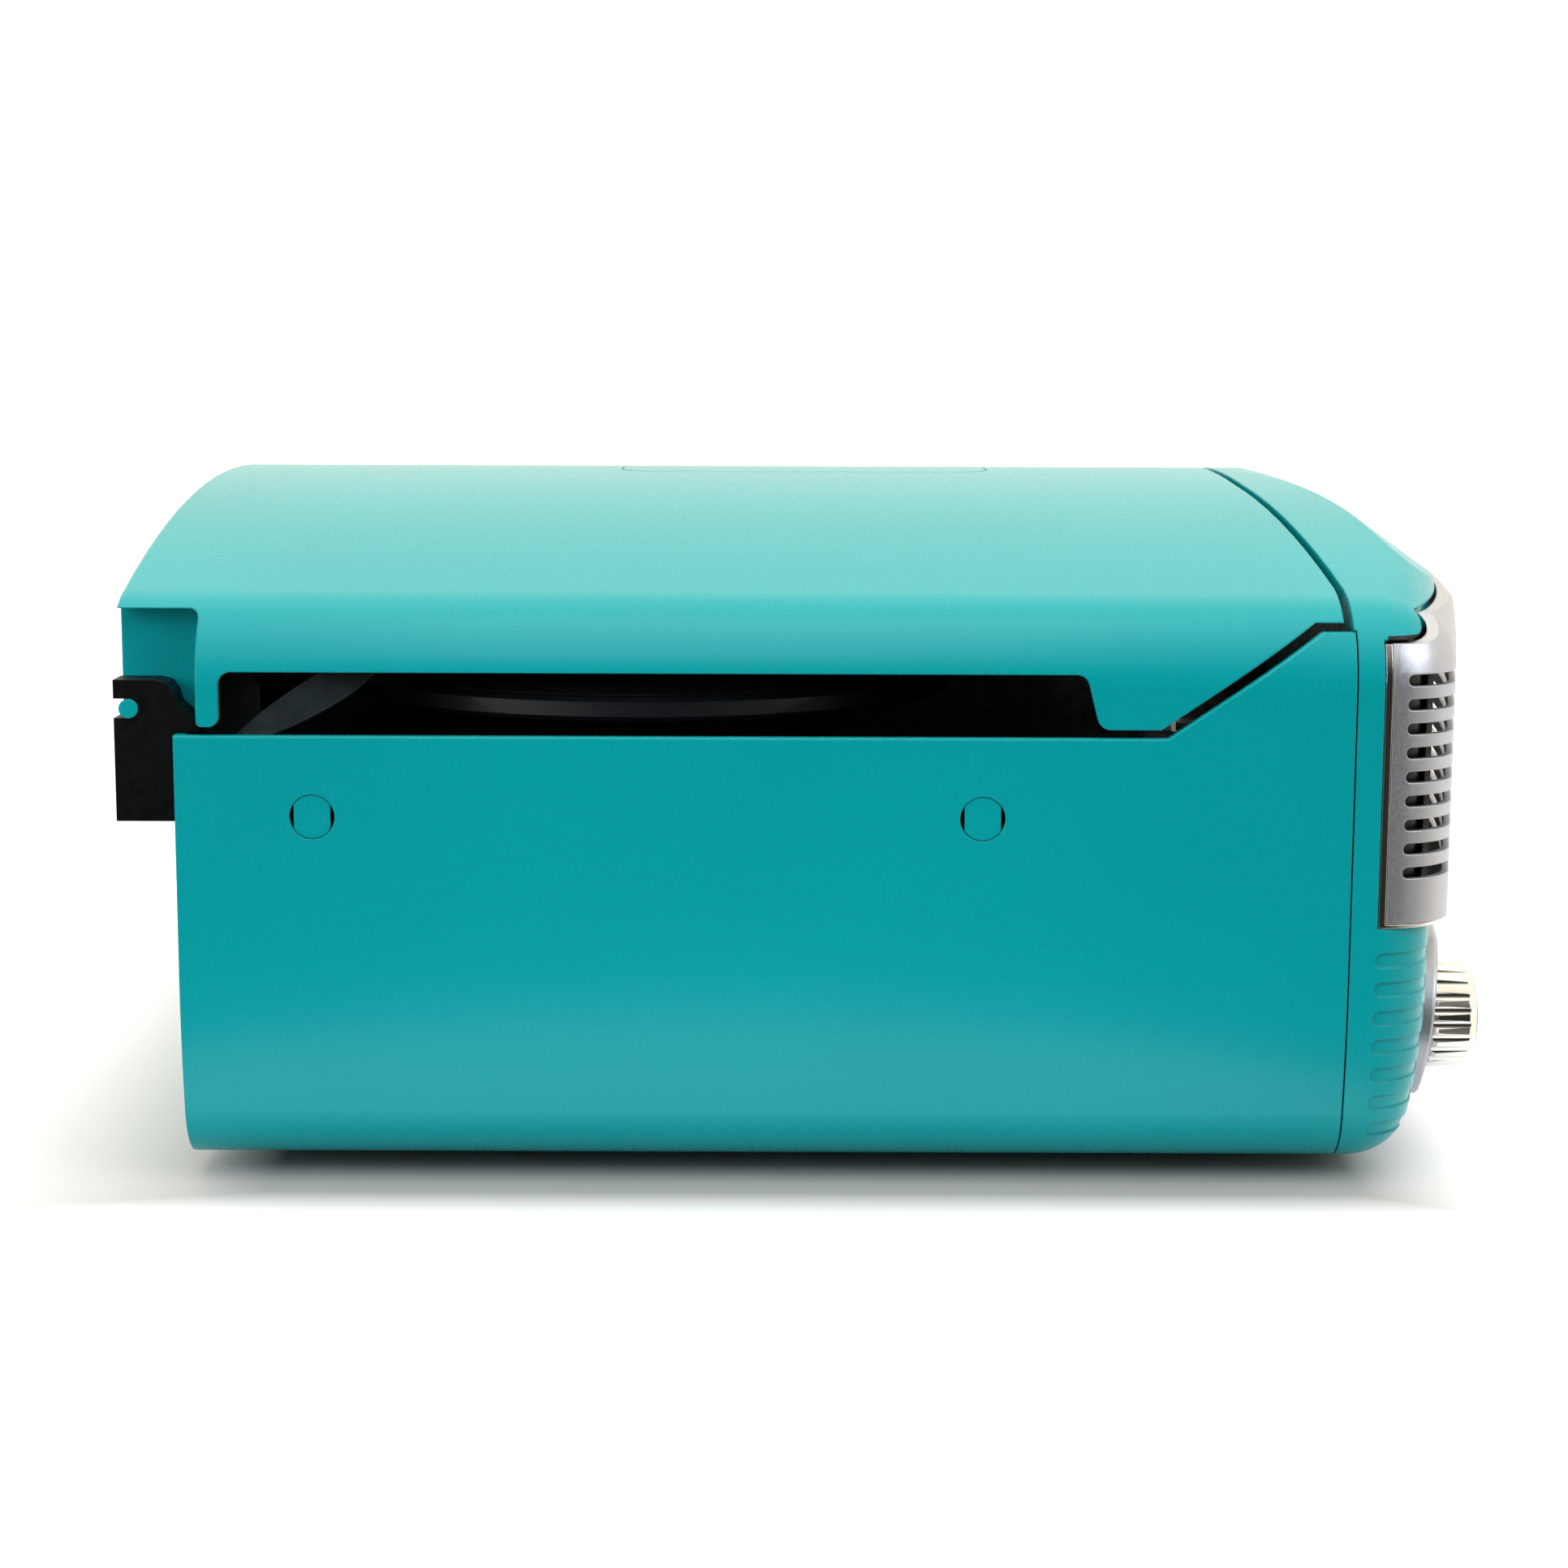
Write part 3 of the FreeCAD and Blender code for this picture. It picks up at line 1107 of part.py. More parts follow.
def make_platter():
    """Platter with a rim, a drum for the belt below and a recess for the mat."""
    bore, web, drum_low = "bearing_radius+0.06", "platter_top-web_depth", "platter_bottom-drum_drop"
    edge, shelf = "platter_radius-rim_round", "platter_top-mat_recess"
    body = turned("platter", [
        (bore, "deck_top+web_thick"), ("hub_radius", "deck_top+web_thick"), ("hub_radius", web),
        ("drum_radius-web_thick", web), ("drum_radius-web_thick", drum_low),
        ("drum_radius", drum_low), ("drum_radius", web),
        ("platter_radius-rim_thick", web), ("platter_radius-rim_thick", "platter_bottom"),
        (edge, "platter_bottom"), ("platter_radius", "platter_bottom+rim_round"),
        ("platter_radius", "platter_top-rim_round"), (edge, "platter_top"),
        ("mat_radius+mat_gap", "platter_top"), ("mat_radius+mat_gap", shelf), (bore, shelf)])
    return move(body, "platter_x", "platter_y")


def make_mat():
    """Rubber mat that lies in the platter's recess."""
    low, high, bore = "platter_top-mat_recess", "platter_top+mat_proud", "bearing_radius+0.3"
    body = turned("platter_mat", [(bore, low), ("mat_radius", low), ("mat_radius", high), (bore, high)])
    return move(body, "platter_x", "platter_y")


def make_spindle():
    """The platter's bearing shaft, stepped down to the record pin above the mat."""
    foot, step, below = "deck_top-bearing_depth", "platter_top+mat_proud", "deck_top-deck_thick-0.1"
    flange = "bearing_radius+flange"
    body = turned("spindle", [
        ("0", foot), (flange, foot), (flange, below), ("bearing_radius", below),
        ("bearing_radius", step), ("spindle_radius", step), ("spindle_radius", "platter_top+pin_height"),
        ("spindle_radius-1.5", "platter_top+pin_height+3"), ("0", "platter_top+pin_height+3.6")])
    return move(body, "platter_x", "platter_y")


def make_belt():
    """Flat belt round the platter's drum and the motor pulley."""
    thick, gap, fall = 0.8, 0.08, get("pulley_offset")
    low, high = get("platter_bottom") - 1.2, get("platter_bottom") + 2.6
    drum = Vector(get("platter_x"), get("platter_y"), low)
    pulley = drum + Vector(fall, -fall, 0)
    heading = math.atan2(-fall, fall)

    def loop(extra):
        wide, narrow = get("drum_radius") + gap + extra, get("pulley_radius") + gap + extra
        spread = math.acos((wide - narrow) / drum.distanceToPoint(pulley))
        up, down = heading + spread, heading - spread

        def at(centre, radius, angle):
            return Vector(*polar((centre.x, centre.y), radius, angle), low)

        edges = [arc(at(drum, wide, up), at(drum, wide, heading + math.pi), at(drum, wide, down)),
                 line(at(drum, wide, down), at(pulley, narrow, down)),
                 arc(at(pulley, narrow, down), at(pulley, narrow, heading), at(pulley, narrow, up)),
                 line(at(pulley, narrow, up), at(drum, wide, up))]
        return Part.Face(Part.Wire(edges)).extrude(Vector(0, 0, high - low))

    return shape_feature("drive_belt", loop(thick).cut(loop(0)))


def make_motor():
    """The motor's can under the deck, bored for the pulley's shaft."""
    place = (PULLEY_X, PULLEY_Y, "deck_top-deck_thick-motor_length-0.1")
    can = cylinder(place, "motor_radius", "motor_length")
    return keep("turntable_motor", cut(can, cylinder(place, "motor_shaft+0.05", "motor_length")))


def make_pulley():
    """Motor shaft with its flanged pulley at the belt's height."""
    flange, foot = "platter_bottom-1.4", "deck_top-deck_thick-motor_length/2"
    top = "platter_bottom+2.9"
    body = turned("motor_pulley", [
        ("0", foot), ("motor_shaft", foot), ("motor_shaft", "platter_bottom-4"),
        ("pulley_radius+1.2", "platter_bottom-4"), ("pulley_radius+1.2", flange),
        ("pulley_radius", flange), ("pulley_radius", top), ("0", top)])
    return move(body, PULLEY_X, PULLEY_Y)


def make_adapter():
    """Loose centre piece for large-hole records, parked on the deck."""
    bore, step, brim = "spindle_radius+0.1", "deck_top+3.6", "deck_top+2.5"
    body = turned("record_adapter", [
        (bore, "deck_top"), ("adapter_radius", "deck_top"), ("adapter_radius", brim),
        ("adapter_radius-1.5", step), ("adapter_radius-10", step),
        ("adapter_radius-10", "deck_top+5"), (bore, "deck_top+5")])
    return move(body, "-170", "-120")


def make_tonearm():
    """The arm's fixed base, its turning yoke, and the arm that tips in the yoke."""
    socket, collar = "yoke_post+0.05", "deck_top+arm_base_height"
    base = turned("tonearm_base", [
        ("0", "deck_top"), ("arm_base_radius", "deck_top"), ("arm_base_radius", collar + "-4"),
        ("arm_base_radius-3", collar), (socket, collar), (socket, "deck_top+4"), ("0", "deck_top+4")])
    move(base, "arm_x", "arm_y")
    post = cylinder(("arm_x", "arm_y", "deck_top+4.1"), "yoke_post", "10")
    disc = cylinder(("arm_x", "arm_y", collar + "+0.1"), "yoke_half", "4.4")
    ears = [box(("arm_x" + near, "arm_y-5", "deck_top+16"), ("arm_x" + far, "arm_y+5", "arm_pivot_z+5"))
            for near, far in (("-yoke_half", "-yoke_half+ear_thick"), ("+yoke_half-ear_thick", "+yoke_half"))]
    across = ("arm_x-2*yoke_half", "arm_y", "arm_pivot_z")
    bore = cylinder(across, "axle_radius+running_fit", "4*yoke_half", "x")
    keep("tonearm_yoke", cut(fuse(post, disc, *ears), bore))
    neck, low, high = "arm_y-arm_reach+neck_length", "arm_pivot_z-5", "arm_pivot_z+5"
    beam = cylinder(("arm_x", neck, "arm_pivot_z"), "tube_radius", "arm_reach-neck_length+22", "y")
    hub = box(("arm_x-arm_hub", "arm_y-8", low), ("arm_x+arm_hub", "arm_y+8", high))
    axle = cylinder(("arm_x-yoke_half", "arm_y", "arm_pivot_z"), "axle_radius", "2*yoke_half", "x")
    weight = cylinder(("arm_x", "arm_y+14", "arm_pivot_z"), "weight_radius", "18", "y")
    keep("tonearm_tube", fuse(beam, hub, axle, weight))
    make_headshell(neck)


def make_headshell(neck):
    """The shell at the arm's end with its finger lift, and the cartridge that it carries."""
    front, half, wall = "arm_y-arm_reach-6", "shell_half", "shell_wall"
    outside = box(("arm_x-" + half, front, "arm_pivot_z-5"),
                  ("arm_x+" + half, neck + "-0.1", "arm_pivot_z+5"))
    hollow = box(("arm_x-%s+%s" % (half, wall), "%s+%s" % (front, wall), "arm_pivot_z-6"),
                 ("arm_x+%s-%s" % (half, wall), neck + "-6", "arm_pivot_z+2.5"))
    lift = box(("arm_x+" + half, front + "+6", "arm_pivot_z+1"),
               ("arm_x+19", front + "+9", "arm_pivot_z+2.4"))
    keep("headshell", fuse(cut(outside, hollow), lift))
    side = "%s-%s-0.4" % (half, wall)
    cartridge = box(("arm_x-(%s)" % side, "%s+%s+0.4" % (front, wall), "arm_pivot_z-4"),
                    ("arm_x+" + side, front + "+22", "arm_pivot_z+2.3"))
    tip = doc.addObject("Part::Cone", "Tip")
    bind(tip, Radius1="stylus_tip", Radius2="1.6", Height="2.6")
    move(tip, "arm_x", "arm_y-arm_reach", "arm_pivot_z-6.6")
    keep("stylus_cartridge", fuse(cartridge, tip))


def make_arm_rest():
    """Post with a cradle, and the swinging clip that locks the arm in it."""
    near, far, above = "arm_rest_y-4", "arm_rest_y+4", "arm_pivot_z+9"
    groove = "tube_radius+0.1"
    post = box(("arm_x-8", near, "deck_top"), ("arm_x+8", far, "arm_pivot_z+1"))
    cradle = cylinder(("arm_x", near + "-1", "arm_pivot_z"), groove, "12", "y")
    mouth = box(("arm_x-9", near + "-1", "arm_pivot_z-(%s)" % groove), ("arm_x", far + "+1", above))
    open_top = box(("arm_x-1", near + "-1", "arm_pivot_z"), ("arm_x+" + groove, far + "+1", above))
    pocket = box(("clip_x-1.3", "arm_rest_y-clip_half-0.2", "arm_pivot_z-9"),
                 ("clip_x+2.1", "arm_rest_y+clip_half+0.2", above))
    pivot = ("clip_x", "arm_rest_y-3.2", "arm_pivot_z-6.5")
    keep("arm_rest", cut(post, cradle, mouth, open_top, pocket, cylinder(pivot, "clip_pin+0.06", "6.4", "y")))
    near_y, far_y, outer = "arm_rest_y-clip_half", "arm_rest_y+clip_half", "clip_x+0.9"
    stem = box(("clip_x-0.9", near_y, "arm_pivot_z-7.4"), (outer, far_y, "arm_pivot_z+clip_height"))
    bar = box(("arm_x-6", near_y, "arm_pivot_z+clip_height"), (outer, far_y, "arm_pivot_z+clip_height+1.8"))
    return keep("arm_clip", fuse(stem, bar, cylinder(pivot, "clip_pin", "6.4", "y")))


def make_cueing():
    """The lift platform under the arm and the lever that raises it."""
    top = "arm_pivot_z-tube_radius-0.3"
    stem = cylinder(("lift_x", "lift_y", "deck_top-6"), "lift_radius", top + "-1.8-deck_top+6")
    bar = box(("arm_x-44", "lift_y-2", top + "-2"), ("arm_x+10", "lift_y+2", top))
    keep("cue_lift", fuse(stem, bar))
    shaft = cylinder(("lever_x", "lever_y", "lever_z"), "lever_shaft", "12", "x")
    lever = box(("lever_x+7", "lever_y-24", "lever_z-1"), ("lever_x+11", "lever_y+2", "lever_z+1.5"))
    knob = box(("lever_x+5.5", "lever_y-30", "lever_z-2"), ("lever_x+12.5", "lever_y-22", "lever_z+3.5"))
    keep("cue_lever", fuse(shaft, lever, knob))


def make_switches():
    """Slide switches on the deck: record speed and automatic stop."""
    for node, (slot_y, _) in SWITCH_SLOTS.items():
        low_y, high_y = slot_y + 2, slot_y + 10
        tab = box(("switch_x-switch_slot+0.3", low_y, "deck_top-deck_thick-3"),
                  ("switch_x+switch_slot-0.3", high_y, "deck_top+4"))
        cap = box(("switch_x-5", low_y - 1, "deck_top+0.3"), ("switch_x+5", high_y + 1, "deck_top+2"))
        keep(node, fuse(tab, cap))


# ---------------------------------------------------------------- controls


def make_knob(node, side):
    """Bright fluted knob, turned and then grooved all round."""
    body = turned(node, [
        ("0", "-shaft_length"), ("shaft_radius", "-shaft_length"), ("shaft_radius", "0"),
        ("knob_radius-1.4", "0"), ("knob_radius-0.4", "1"), ("knob_radius", "2.2"),
        ("knob_radius-0.5", "knob_length-3.4"), ("knob_radius-2.6", "knob_length-1"),
        ("knob_radius-5", "knob_length-0.2"), ("0", "knob_length")])
    doc.recompute()
    centre = "knob_radius+flute_radius-0.85"
    groove = circle_sketch(body, "XY_Plane", "FluteCircle", centre, "0", "flute_radius")
    flute = body.newObject("PartDesign::Pocket", "Flute")
    flute.Profile = groove
    flute.Reversed = True
    bind(flute, Length="knob_length-2.6")
    doc.recompute()
    ring = body.newObject("PartDesign::PolarPattern", "Flutes")
    ring.Originals = [flute]
    ring.Axis = (groove, ["N_Axis"])
    ring.Angle = 360
    bind(ring, Occurrences="flute_count")
    body.Tip = ring
    body.Placement = Placement(Vector(), AXIS_TURN["front"])
    return move(body, "%d*knob_x" % side, "knob_back_y", "knob_z")


def make_shafts():
    """Round controls behind the knobs, each bored for its shaft."""
    for node, side in (("volume_potentiometer", -1), ("tuning_capacitor", 1)):
        centre = "%d*knob_x" % side
        can = cylinder((centre, "knob_back_y+can_gap", "knob_z"), "can_radius", "can_length", "y")
        bore = cylinder((centre, "knob_back_y", "knob_z"), "shaft_radius+running_fit", "2*can_length", "y")
        keep(node, cut(can, bore))


def make_buttons():
    """Five bright push buttons, bowed with the plate around them."""
    corner, soft, travel_room = 2.0, 0.8, 14
    front = bowed_limit(get("plate_thick") + get("button_proud"))
    half, tall = get("button_half"), get("button_height") / 2
    for index, x in enumerate(button_centres(), start=1):
        cap = block((x - half, -FAR, get("knob_z") - tall),
                    (x + half, get("front_y") + travel_room, get("knob_z") + tall))
        uprights = [edge for edge in cap.Edges if edge.BoundBox.YLength > half]
        cap = cap.makeFillet(corner, uprights).common(front)
        rims = [edge for edge in cap.Edges if edge.BoundBox.YMax < get("front_y")]
        shape_feature("push_button_%d" % index, cap.makeFillet(soft, rims))


def make_headphone_jack():
    """Sleeve of the headphone socket in the control plate."""
    jack = tube(("phones_x", "front_y+4", "knob_z"), "phones_radius", "phones_bore", "22", "y")
    return keep("headphone_jack", jack)


def make_pointer():
    """Upright red pointer behind the dial glass."""
    face, half, inset = "front_y-0.6", "0.6", "6"
    needle = box(("-" + half, face, "dial_low+" + inset), (half, face + "+1", "dial_high-" + inset))
    return keep("dial_pointer", needle)


# ---------------------------------------------------------------- inside


def cone(place, wide, narrow, length):
    """A Part::Cone along Y that narrows towards the rear."""
    item = doc.addObject("Part::Cone", "Taper")
    item.Placement = Placement(Vector(), AXIS_TURN["y"])
    bind(item, Radius1=wide, Radius2=narrow, Height=length)
    return bind(item, Placement__Base__x=place[0], Placement__Base__y=place[1],
                Placement__Base__z=place[2])


def make_speakers():
    """Two round speakers: a pressed frame with its magnet, and a paper cone."""
    frames, cones = [], []
    for side in (-1, 1):
        x, z = "%d*speaker_x" % side, "speaker_z"
        seat = "speaker_y+frame_thick"
        bowl = cone((x, seat, z), "bowl_radius", "bowl_rear", "bowl_depth")
        hollow = cone((x, seat + "-0.1", z), "bowl_radius-1.5", "bowl_rear-1.5", "bowl_depth-1.1")
        ring = tube((x, "speaker_y", z), "frame_radius", "speaker_hole+1", "frame_thick", "y")
        magnet = cylinder((x, seat + "+bowl_depth-0.1", z), "magnet_radius", "magnet_depth", "y")
        frames.append(fuse(ring, cut(bowl, hollow), magnet))
        paper = cone((x, "speaker_y+0.5", z), "speaker_hole+0.5", "coil_radius+1", "cone_depth+0.3")
        cones.append(cut(paper, cone((x, "speaker_y", z), "speaker_hole", "coil_radius", "cone_depth")))
    keep("speaker_frames", compound(frames))
    keep("speaker_cones", compound(cones))


def make_electronics():
    """The circuit board on its legs with its larger parts, and the mains transformer."""
    top = "board_z+board_thick"
    board = box(("-90", "-60", "board_z"), ("90", "90", top))
    legs = [cylinder((x, y, "board_z-6"), "3", "6") for x in (-84, 84) for y in (-54, 84)]
    capacitors = [cylinder((-70 + 22 * index, 60, top), "6", "16") for index in range(4)]
    chips = [box((-60 + 45 * index, -30, top), (-35 + 45 * index, 0, "board_z+6")) for index in range(3)]
    keep("main_circuit_board", fuse(board, *legs, *capacitors, *chips))
    core = box(("110", "60", "board_z-6"), ("160", "110", "board_z+31"))
    coil = box(("102", "70", "board_z+1"), ("168", "100", "board_z+24"))
    keep("mains_transformer", fuse(core, coil))


def make_cd_mechanism():
    """The hub that a disc is pressed on, and the laser sled in its track."""
    below, ledge = "cd_floor-10", "cd_floor+1"
    hub = turned("cd_hub", [
        ("0", below), ("3", below), ("3", ledge), ("15", ledge),
        ("15", "cd_floor+3"), ("7.4", "cd_floor+3.4"), ("7.2", "cd_floor+6"), ("5", "cd_floor+8"),
        ("0", "cd_floor+8")])
    move(hub, "cd_x", "cd_y")
    sled = box(("cd_x-7", "cd_y-30", "cd_floor-8"), ("cd_x+7", "cd_y-14", "cd_floor-1"))
    lens = cylinder(("cd_x", "cd_y-22", "cd_floor-1"), "3", "1.6")
    keep("cd_pickup", fuse(sled, lens))


def build_everything():
    make_cabinet_shell()
    make_front_bezel()
    make_lid_shell()
    make_cd_door()
    make_cd_chassis()
    make_lid_inner_cover()
    make_grille()
    make_trim()
    make_backing()
    make_dial()
    make_control_plate()
    make_bottom_plate()
    make_feet()
    make_bottom_screws()
    make_plugs()
    make_side_screws()
    make_deck()
    make_rear_panel()
    make_rca_jacks()
    make_power_inlet()
    make_hinge_bracket("hinge_bracket_left", -1)
    make_hinge_bracket("hinge_bracket_right", 1)
    make_hinge_screws()
    make_ribbon()
    make_platter()
    make_mat()
    make_spindle()
    make_belt()
    make_motor()
    make_pulley()
    make_adapter()
    make_tonearm()
    make_arm_rest()
    make_cueing()
    make_switches()
    make_knob("volume_knob", -1)
    make_knob("tuning_knob", 1)
    make_shafts()
    make_buttons()
    make_headphone_jack()
    make_pointer()
    make_speakers()
    make_electronics()
    make_cd_mechanism()
    doc.recompute()


def write_parts():
    """Refuse to write anything unless every object and every shape is sound."""
    for item in doc.Objects:
        if "Invalid" in item.State or "Error" in item.State:
            raise RuntimeError("failed object: %s %s" % (item.Label, item.State))
    for node, item in PARTS.items():
        if item.Shape.isNull() or not item.Shape.isValid() or not item.Shape.Solids:
            raise RuntimeError("unsound shape: " + node)
    os.makedirs("parts", exist_ok=True)
    for node, item in PARTS.items():
        item.Shape.exportStep("parts/%s.step" % node)
    print(len(PARTS), "parts written")


build_everything()
write_parts()
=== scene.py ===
import json
import math

import bpy
import bmesh
from mathutils import Matrix, Vector


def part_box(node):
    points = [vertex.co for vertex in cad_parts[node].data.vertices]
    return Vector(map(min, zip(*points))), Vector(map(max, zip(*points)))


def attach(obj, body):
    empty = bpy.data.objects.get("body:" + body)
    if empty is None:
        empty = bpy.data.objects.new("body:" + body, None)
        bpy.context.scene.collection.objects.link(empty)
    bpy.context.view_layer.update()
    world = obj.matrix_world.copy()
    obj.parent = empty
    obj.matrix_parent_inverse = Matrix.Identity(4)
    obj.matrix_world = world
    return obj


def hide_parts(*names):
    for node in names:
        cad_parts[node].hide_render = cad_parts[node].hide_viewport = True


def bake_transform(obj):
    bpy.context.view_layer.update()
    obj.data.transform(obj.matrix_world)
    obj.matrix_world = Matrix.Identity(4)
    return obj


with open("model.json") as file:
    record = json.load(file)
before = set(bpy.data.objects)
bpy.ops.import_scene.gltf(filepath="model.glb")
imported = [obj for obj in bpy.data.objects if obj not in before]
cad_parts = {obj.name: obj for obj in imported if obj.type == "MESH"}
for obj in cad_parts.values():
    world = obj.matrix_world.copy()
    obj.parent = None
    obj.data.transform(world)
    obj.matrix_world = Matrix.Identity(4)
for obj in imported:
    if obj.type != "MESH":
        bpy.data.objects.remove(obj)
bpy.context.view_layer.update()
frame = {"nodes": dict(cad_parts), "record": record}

NODES = frame["nodes"]


# ---------------------------------------------------------------- places, in metres


def tenths(corner):
    """A place to 0.1 mm, because a round node's mesh falls a little short of its true size."""
    return Vector([round(side, 4) for side in corner])


def low(node):
    """The lowest corner of a node's box."""
    return tenths(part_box(node)[0])


def high(node):
    """The highest corner of a node's box."""
    return tenths(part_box(node)[1])


def middle(node):
    """The middle of a node's box."""
    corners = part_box(node)
    return tenths([(a + b) / 2 for a, b in zip(corners[0], corners[1])])


FRONT_Y = low("front_bezel").y
FRONT_RADIUS = 0.894  # the bow of the front, seen from above
REAR_Y = high("cabinet_shell").y
REAR_WALL_TOP = 0.1395
CONTROL_Z = middle("tuning_knob").z
PLATE_PROUD = FRONT_Y - low("control_plate").y
BUTTON_PROUD = FRONT_Y - low("push_button_3").y
SCALE_DEPTH = 0.0041  # the printed scale behind the front
DIAL_Z = middle("dial_scale").z
JACK_RADIUS = 0.0042


def front_y(x, proud=0.0):
    """Y of the bowed front at x, standing proud of it."""
    return FRONT_Y + FRONT_RADIUS - math.sqrt((FRONT_RADIUS + proud) ** 2 - x * x)


def on_front(x, z, proud):
    """A place on the bowed front, turned to face outwards."""
    lean = Matrix.Rotation(math.asin(x / FRONT_RADIUS), 4, "Z")
    return Matrix.Translation((x, front_y(x, proud), z)) @ lean


# ---------------------------------------------------------------- materials


class Paint:
    """A node material under construction, with short ways to add and join nodes."""

    def __init__(self, name, color, roughness=0.5, metallic=0.0, edge=0.0, **inputs):
        self.material = bpy.data.materials.new(name)
        self.material.use_nodes = True
        self.tree = self.material.node_tree
        self.shader = self.tree.nodes["Principled BSDF"]
        self.set("Base Color", (*color, 1.0))
        self.set("Roughness", roughness)
        self.set("Metallic", metallic)
        for key, value in inputs.items():
            self.set(key.replace("_", " "), value)
        self.place = self.add("ShaderNodeTexCoord").outputs["Object"]
        self.height = None
        if edge:
            bevel = self.add("ShaderNodeBevel", samples=4)
            bevel.inputs["Radius"].default_value = edge
            self.height = bevel.outputs["Normal"]
            self.join(self.height, self.shader.inputs["Normal"])

    def set(self, name, value):
        """Set one input of the main shader."""
        self.shader.inputs[name].default_value = value

    def add(self, kind, **settings):
        node = self.tree.nodes.new(kind)
        for key, value in settings.items():
            setattr(node, key, value)
        return node

    def join(self, source, target):
        self.tree.links.new(source, target)

    def stretch(self, scale):
        """Object coordinates scaled apart along each axis."""
        mapping = self.add("ShaderNodeMapping")
        mapping.inputs["Scale"].default_value = scale
        self.join(self.place, mapping.inputs["Vector"])
        return mapping.outputs["Vector"]

    def axes(self):
        """The x, y and z outputs of the object coordinates."""
        split = self.add("ShaderNodeSeparateXYZ")
        self.join(self.place, split.inputs["Vector"])
        return split.outputs

    def math(self, operation, first, second=0.0):
        """One sum of two sockets or numbers."""
        node = self.add("ShaderNodeMath", operation=operation)
        for socket, value in zip(node.inputs, (first, second)):
            if isinstance(value, (int, float)):
                socket.default_value = value
            else:
                self.join(value, socket)
        return node.outputs["Value"]

    def noise(self, scale, detail=3.0, rough=0.5, where=None):
        """Soft random values from 0 to 1, with scale cells to the metre."""
        node = self.add("ShaderNodeTexNoise")
        node.inputs["Scale"].default_value = scale
        node.inputs["Detail"].default_value = detail
        node.inputs["Roughness"].default_value = rough
        self.join(where or self.place, node.inputs["Vector"])
        return node.outputs["Fac"]

    def remap(self, source, low, high, start=0.35, end=0.65):
        """Stretch start to end into low to high, held at both ends."""
        node = self.add("ShaderNodeMapRange")
        for key, value in (("From Min", start), ("From Max", end), ("To Min", low), ("To Max", high)):
            node.inputs[key].default_value = value
        self.join(source, node.inputs["Value"])
        return node.outputs["Result"]

    def tint(self, factor, first, second):
        """Base colour that drifts between two colours."""
        mix = self.add("ShaderNodeMix", data_type="RGBA")
        for key, color in (("A", first), ("B", second)):
            if isinstance(color, tuple):
                mix.inputs[key].default_value = (*color, 1.0)
            else:
                self.join(color, mix.inputs[key])
        self.join(factor, mix.inputs["Factor"])
        self.join(mix.outputs["Result"], self.shader.inputs["Base Color"])
        return mix.outputs["Result"]

    def rough(self, source, low, high, start=0.35, end=0.65):
        """Roughness that follows a source."""
        self.join(self.remap(source, low, high, start, end), self.shader.inputs["Roughness"])

    def bump(self, source, distance, strength=1.0):
        """Surface relief, over any relief there already is."""
        node = self.add("ShaderNodeBump")
        node.inputs["Distance"].default_value = distance
        node.inputs["Strength"].default_value = strength
        self.join(source, node.inputs["Height"])
        if self.height is not None:
            self.join(self.height, node.inputs["Normal"])
        self.height = node.outputs["Normal"]
        self.join(self.height, self.shader.inputs["Normal"])


def shade(color, factor):
    """A darker or lighter tone of a colour."""
    return tuple(part * factor for part in color)


TEAL = (0.0, 0.335, 0.372)
TEAL_DEEP = (0.0, 0.32, 0.358)
BLACK = (0.0025, 0.0025, 0.0028)


def turquoise(name="turquoise", painted_shade_behind_grille=False):
    """Satin sprayed plastic with a very fine orange-peel, and if asked, painted shade: its faces behind
    the grille coloured black.
    """
    paint = Paint(name, TEAL, 0.28, edge=0.0009, Specular_IOR_Level=0.26)
    color = paint.tint(paint.remap(paint.noise(9.0, 2.0), 0.0, 1.0), TEAL_DEEP, TEAL)
    paint.rough(paint.noise(700.0, 4.0), 0.25, 0.31)
    paint.bump(paint.noise(2400.0, 2.0), 0.00002, 0.08)
    if painted_shade_behind_grille:
        ends_y, sill_z, arch_z, arch_fall = -0.1686, 0.0842, 0.1775, 0.035
        x, y, z = paint.axes()
        behind_ends = paint.math("LESS_THAN", y, ends_y)
        above = paint.math("GREATER_THAN", z, sill_z)
        fall = paint.math("MULTIPLY", paint.math("ABSOLUTE", x), arch_fall)
        below = paint.math("LESS_THAN", z, paint.math("SUBTRACT", arch_z, fall))
        painted_shade_mask = paint.math("MULTIPLY", paint.math("MULTIPLY", behind_ends, above), below)
        # painted shade: the teal faces between the grille's ends, above the sill and under the arch are
        # coloured black for the dark behind the grille
        paint.tint(painted_shade_mask, color, BLACK)
    return paint.material


def black_plastic(name="black_plastic", grain=1500.0, depth=0.00005, rough=(0.38, 0.55)):
    """Black moulded plastic with a fine grain."""
    paint = Paint(name, BLACK, 0.45, edge=0.0005, Specular_IOR_Level=0.1)
    paint.tint(paint.remap(paint.noise(40.0, 4.0), 0.0, 1.0), BLACK, (0.004, 0.004, 0.0045))
    paint.rough(paint.noise(300.0, 4.0), *rough)
    paint.bump(paint.noise(grain, 3.0), depth, 0.5)
    return paint.material


def satin_silver():
    """Silver paint: fine metal flake under a satin lacquer."""
    light, dark = (0.50, 0.515, 0.56), (0.40, 0.41, 0.46)
    paint = Paint("satin_silver", light, 0.36, metallic=0.8, edge=0.0006)
    flakes = paint.add("ShaderNodeTexVoronoi")
    flakes.inputs["Scale"].default_value = 4200.0
    paint.join(paint.place, flakes.inputs["Vector"])
    paint.tint(flakes.outputs["Distance"], light, dark)
    paint.rough(paint.noise(900.0, 4.0), 0.32, 0.42)
    paint.bump(paint.noise(3200.0, 2.0), 0.00002, 0.4)
    return paint.material


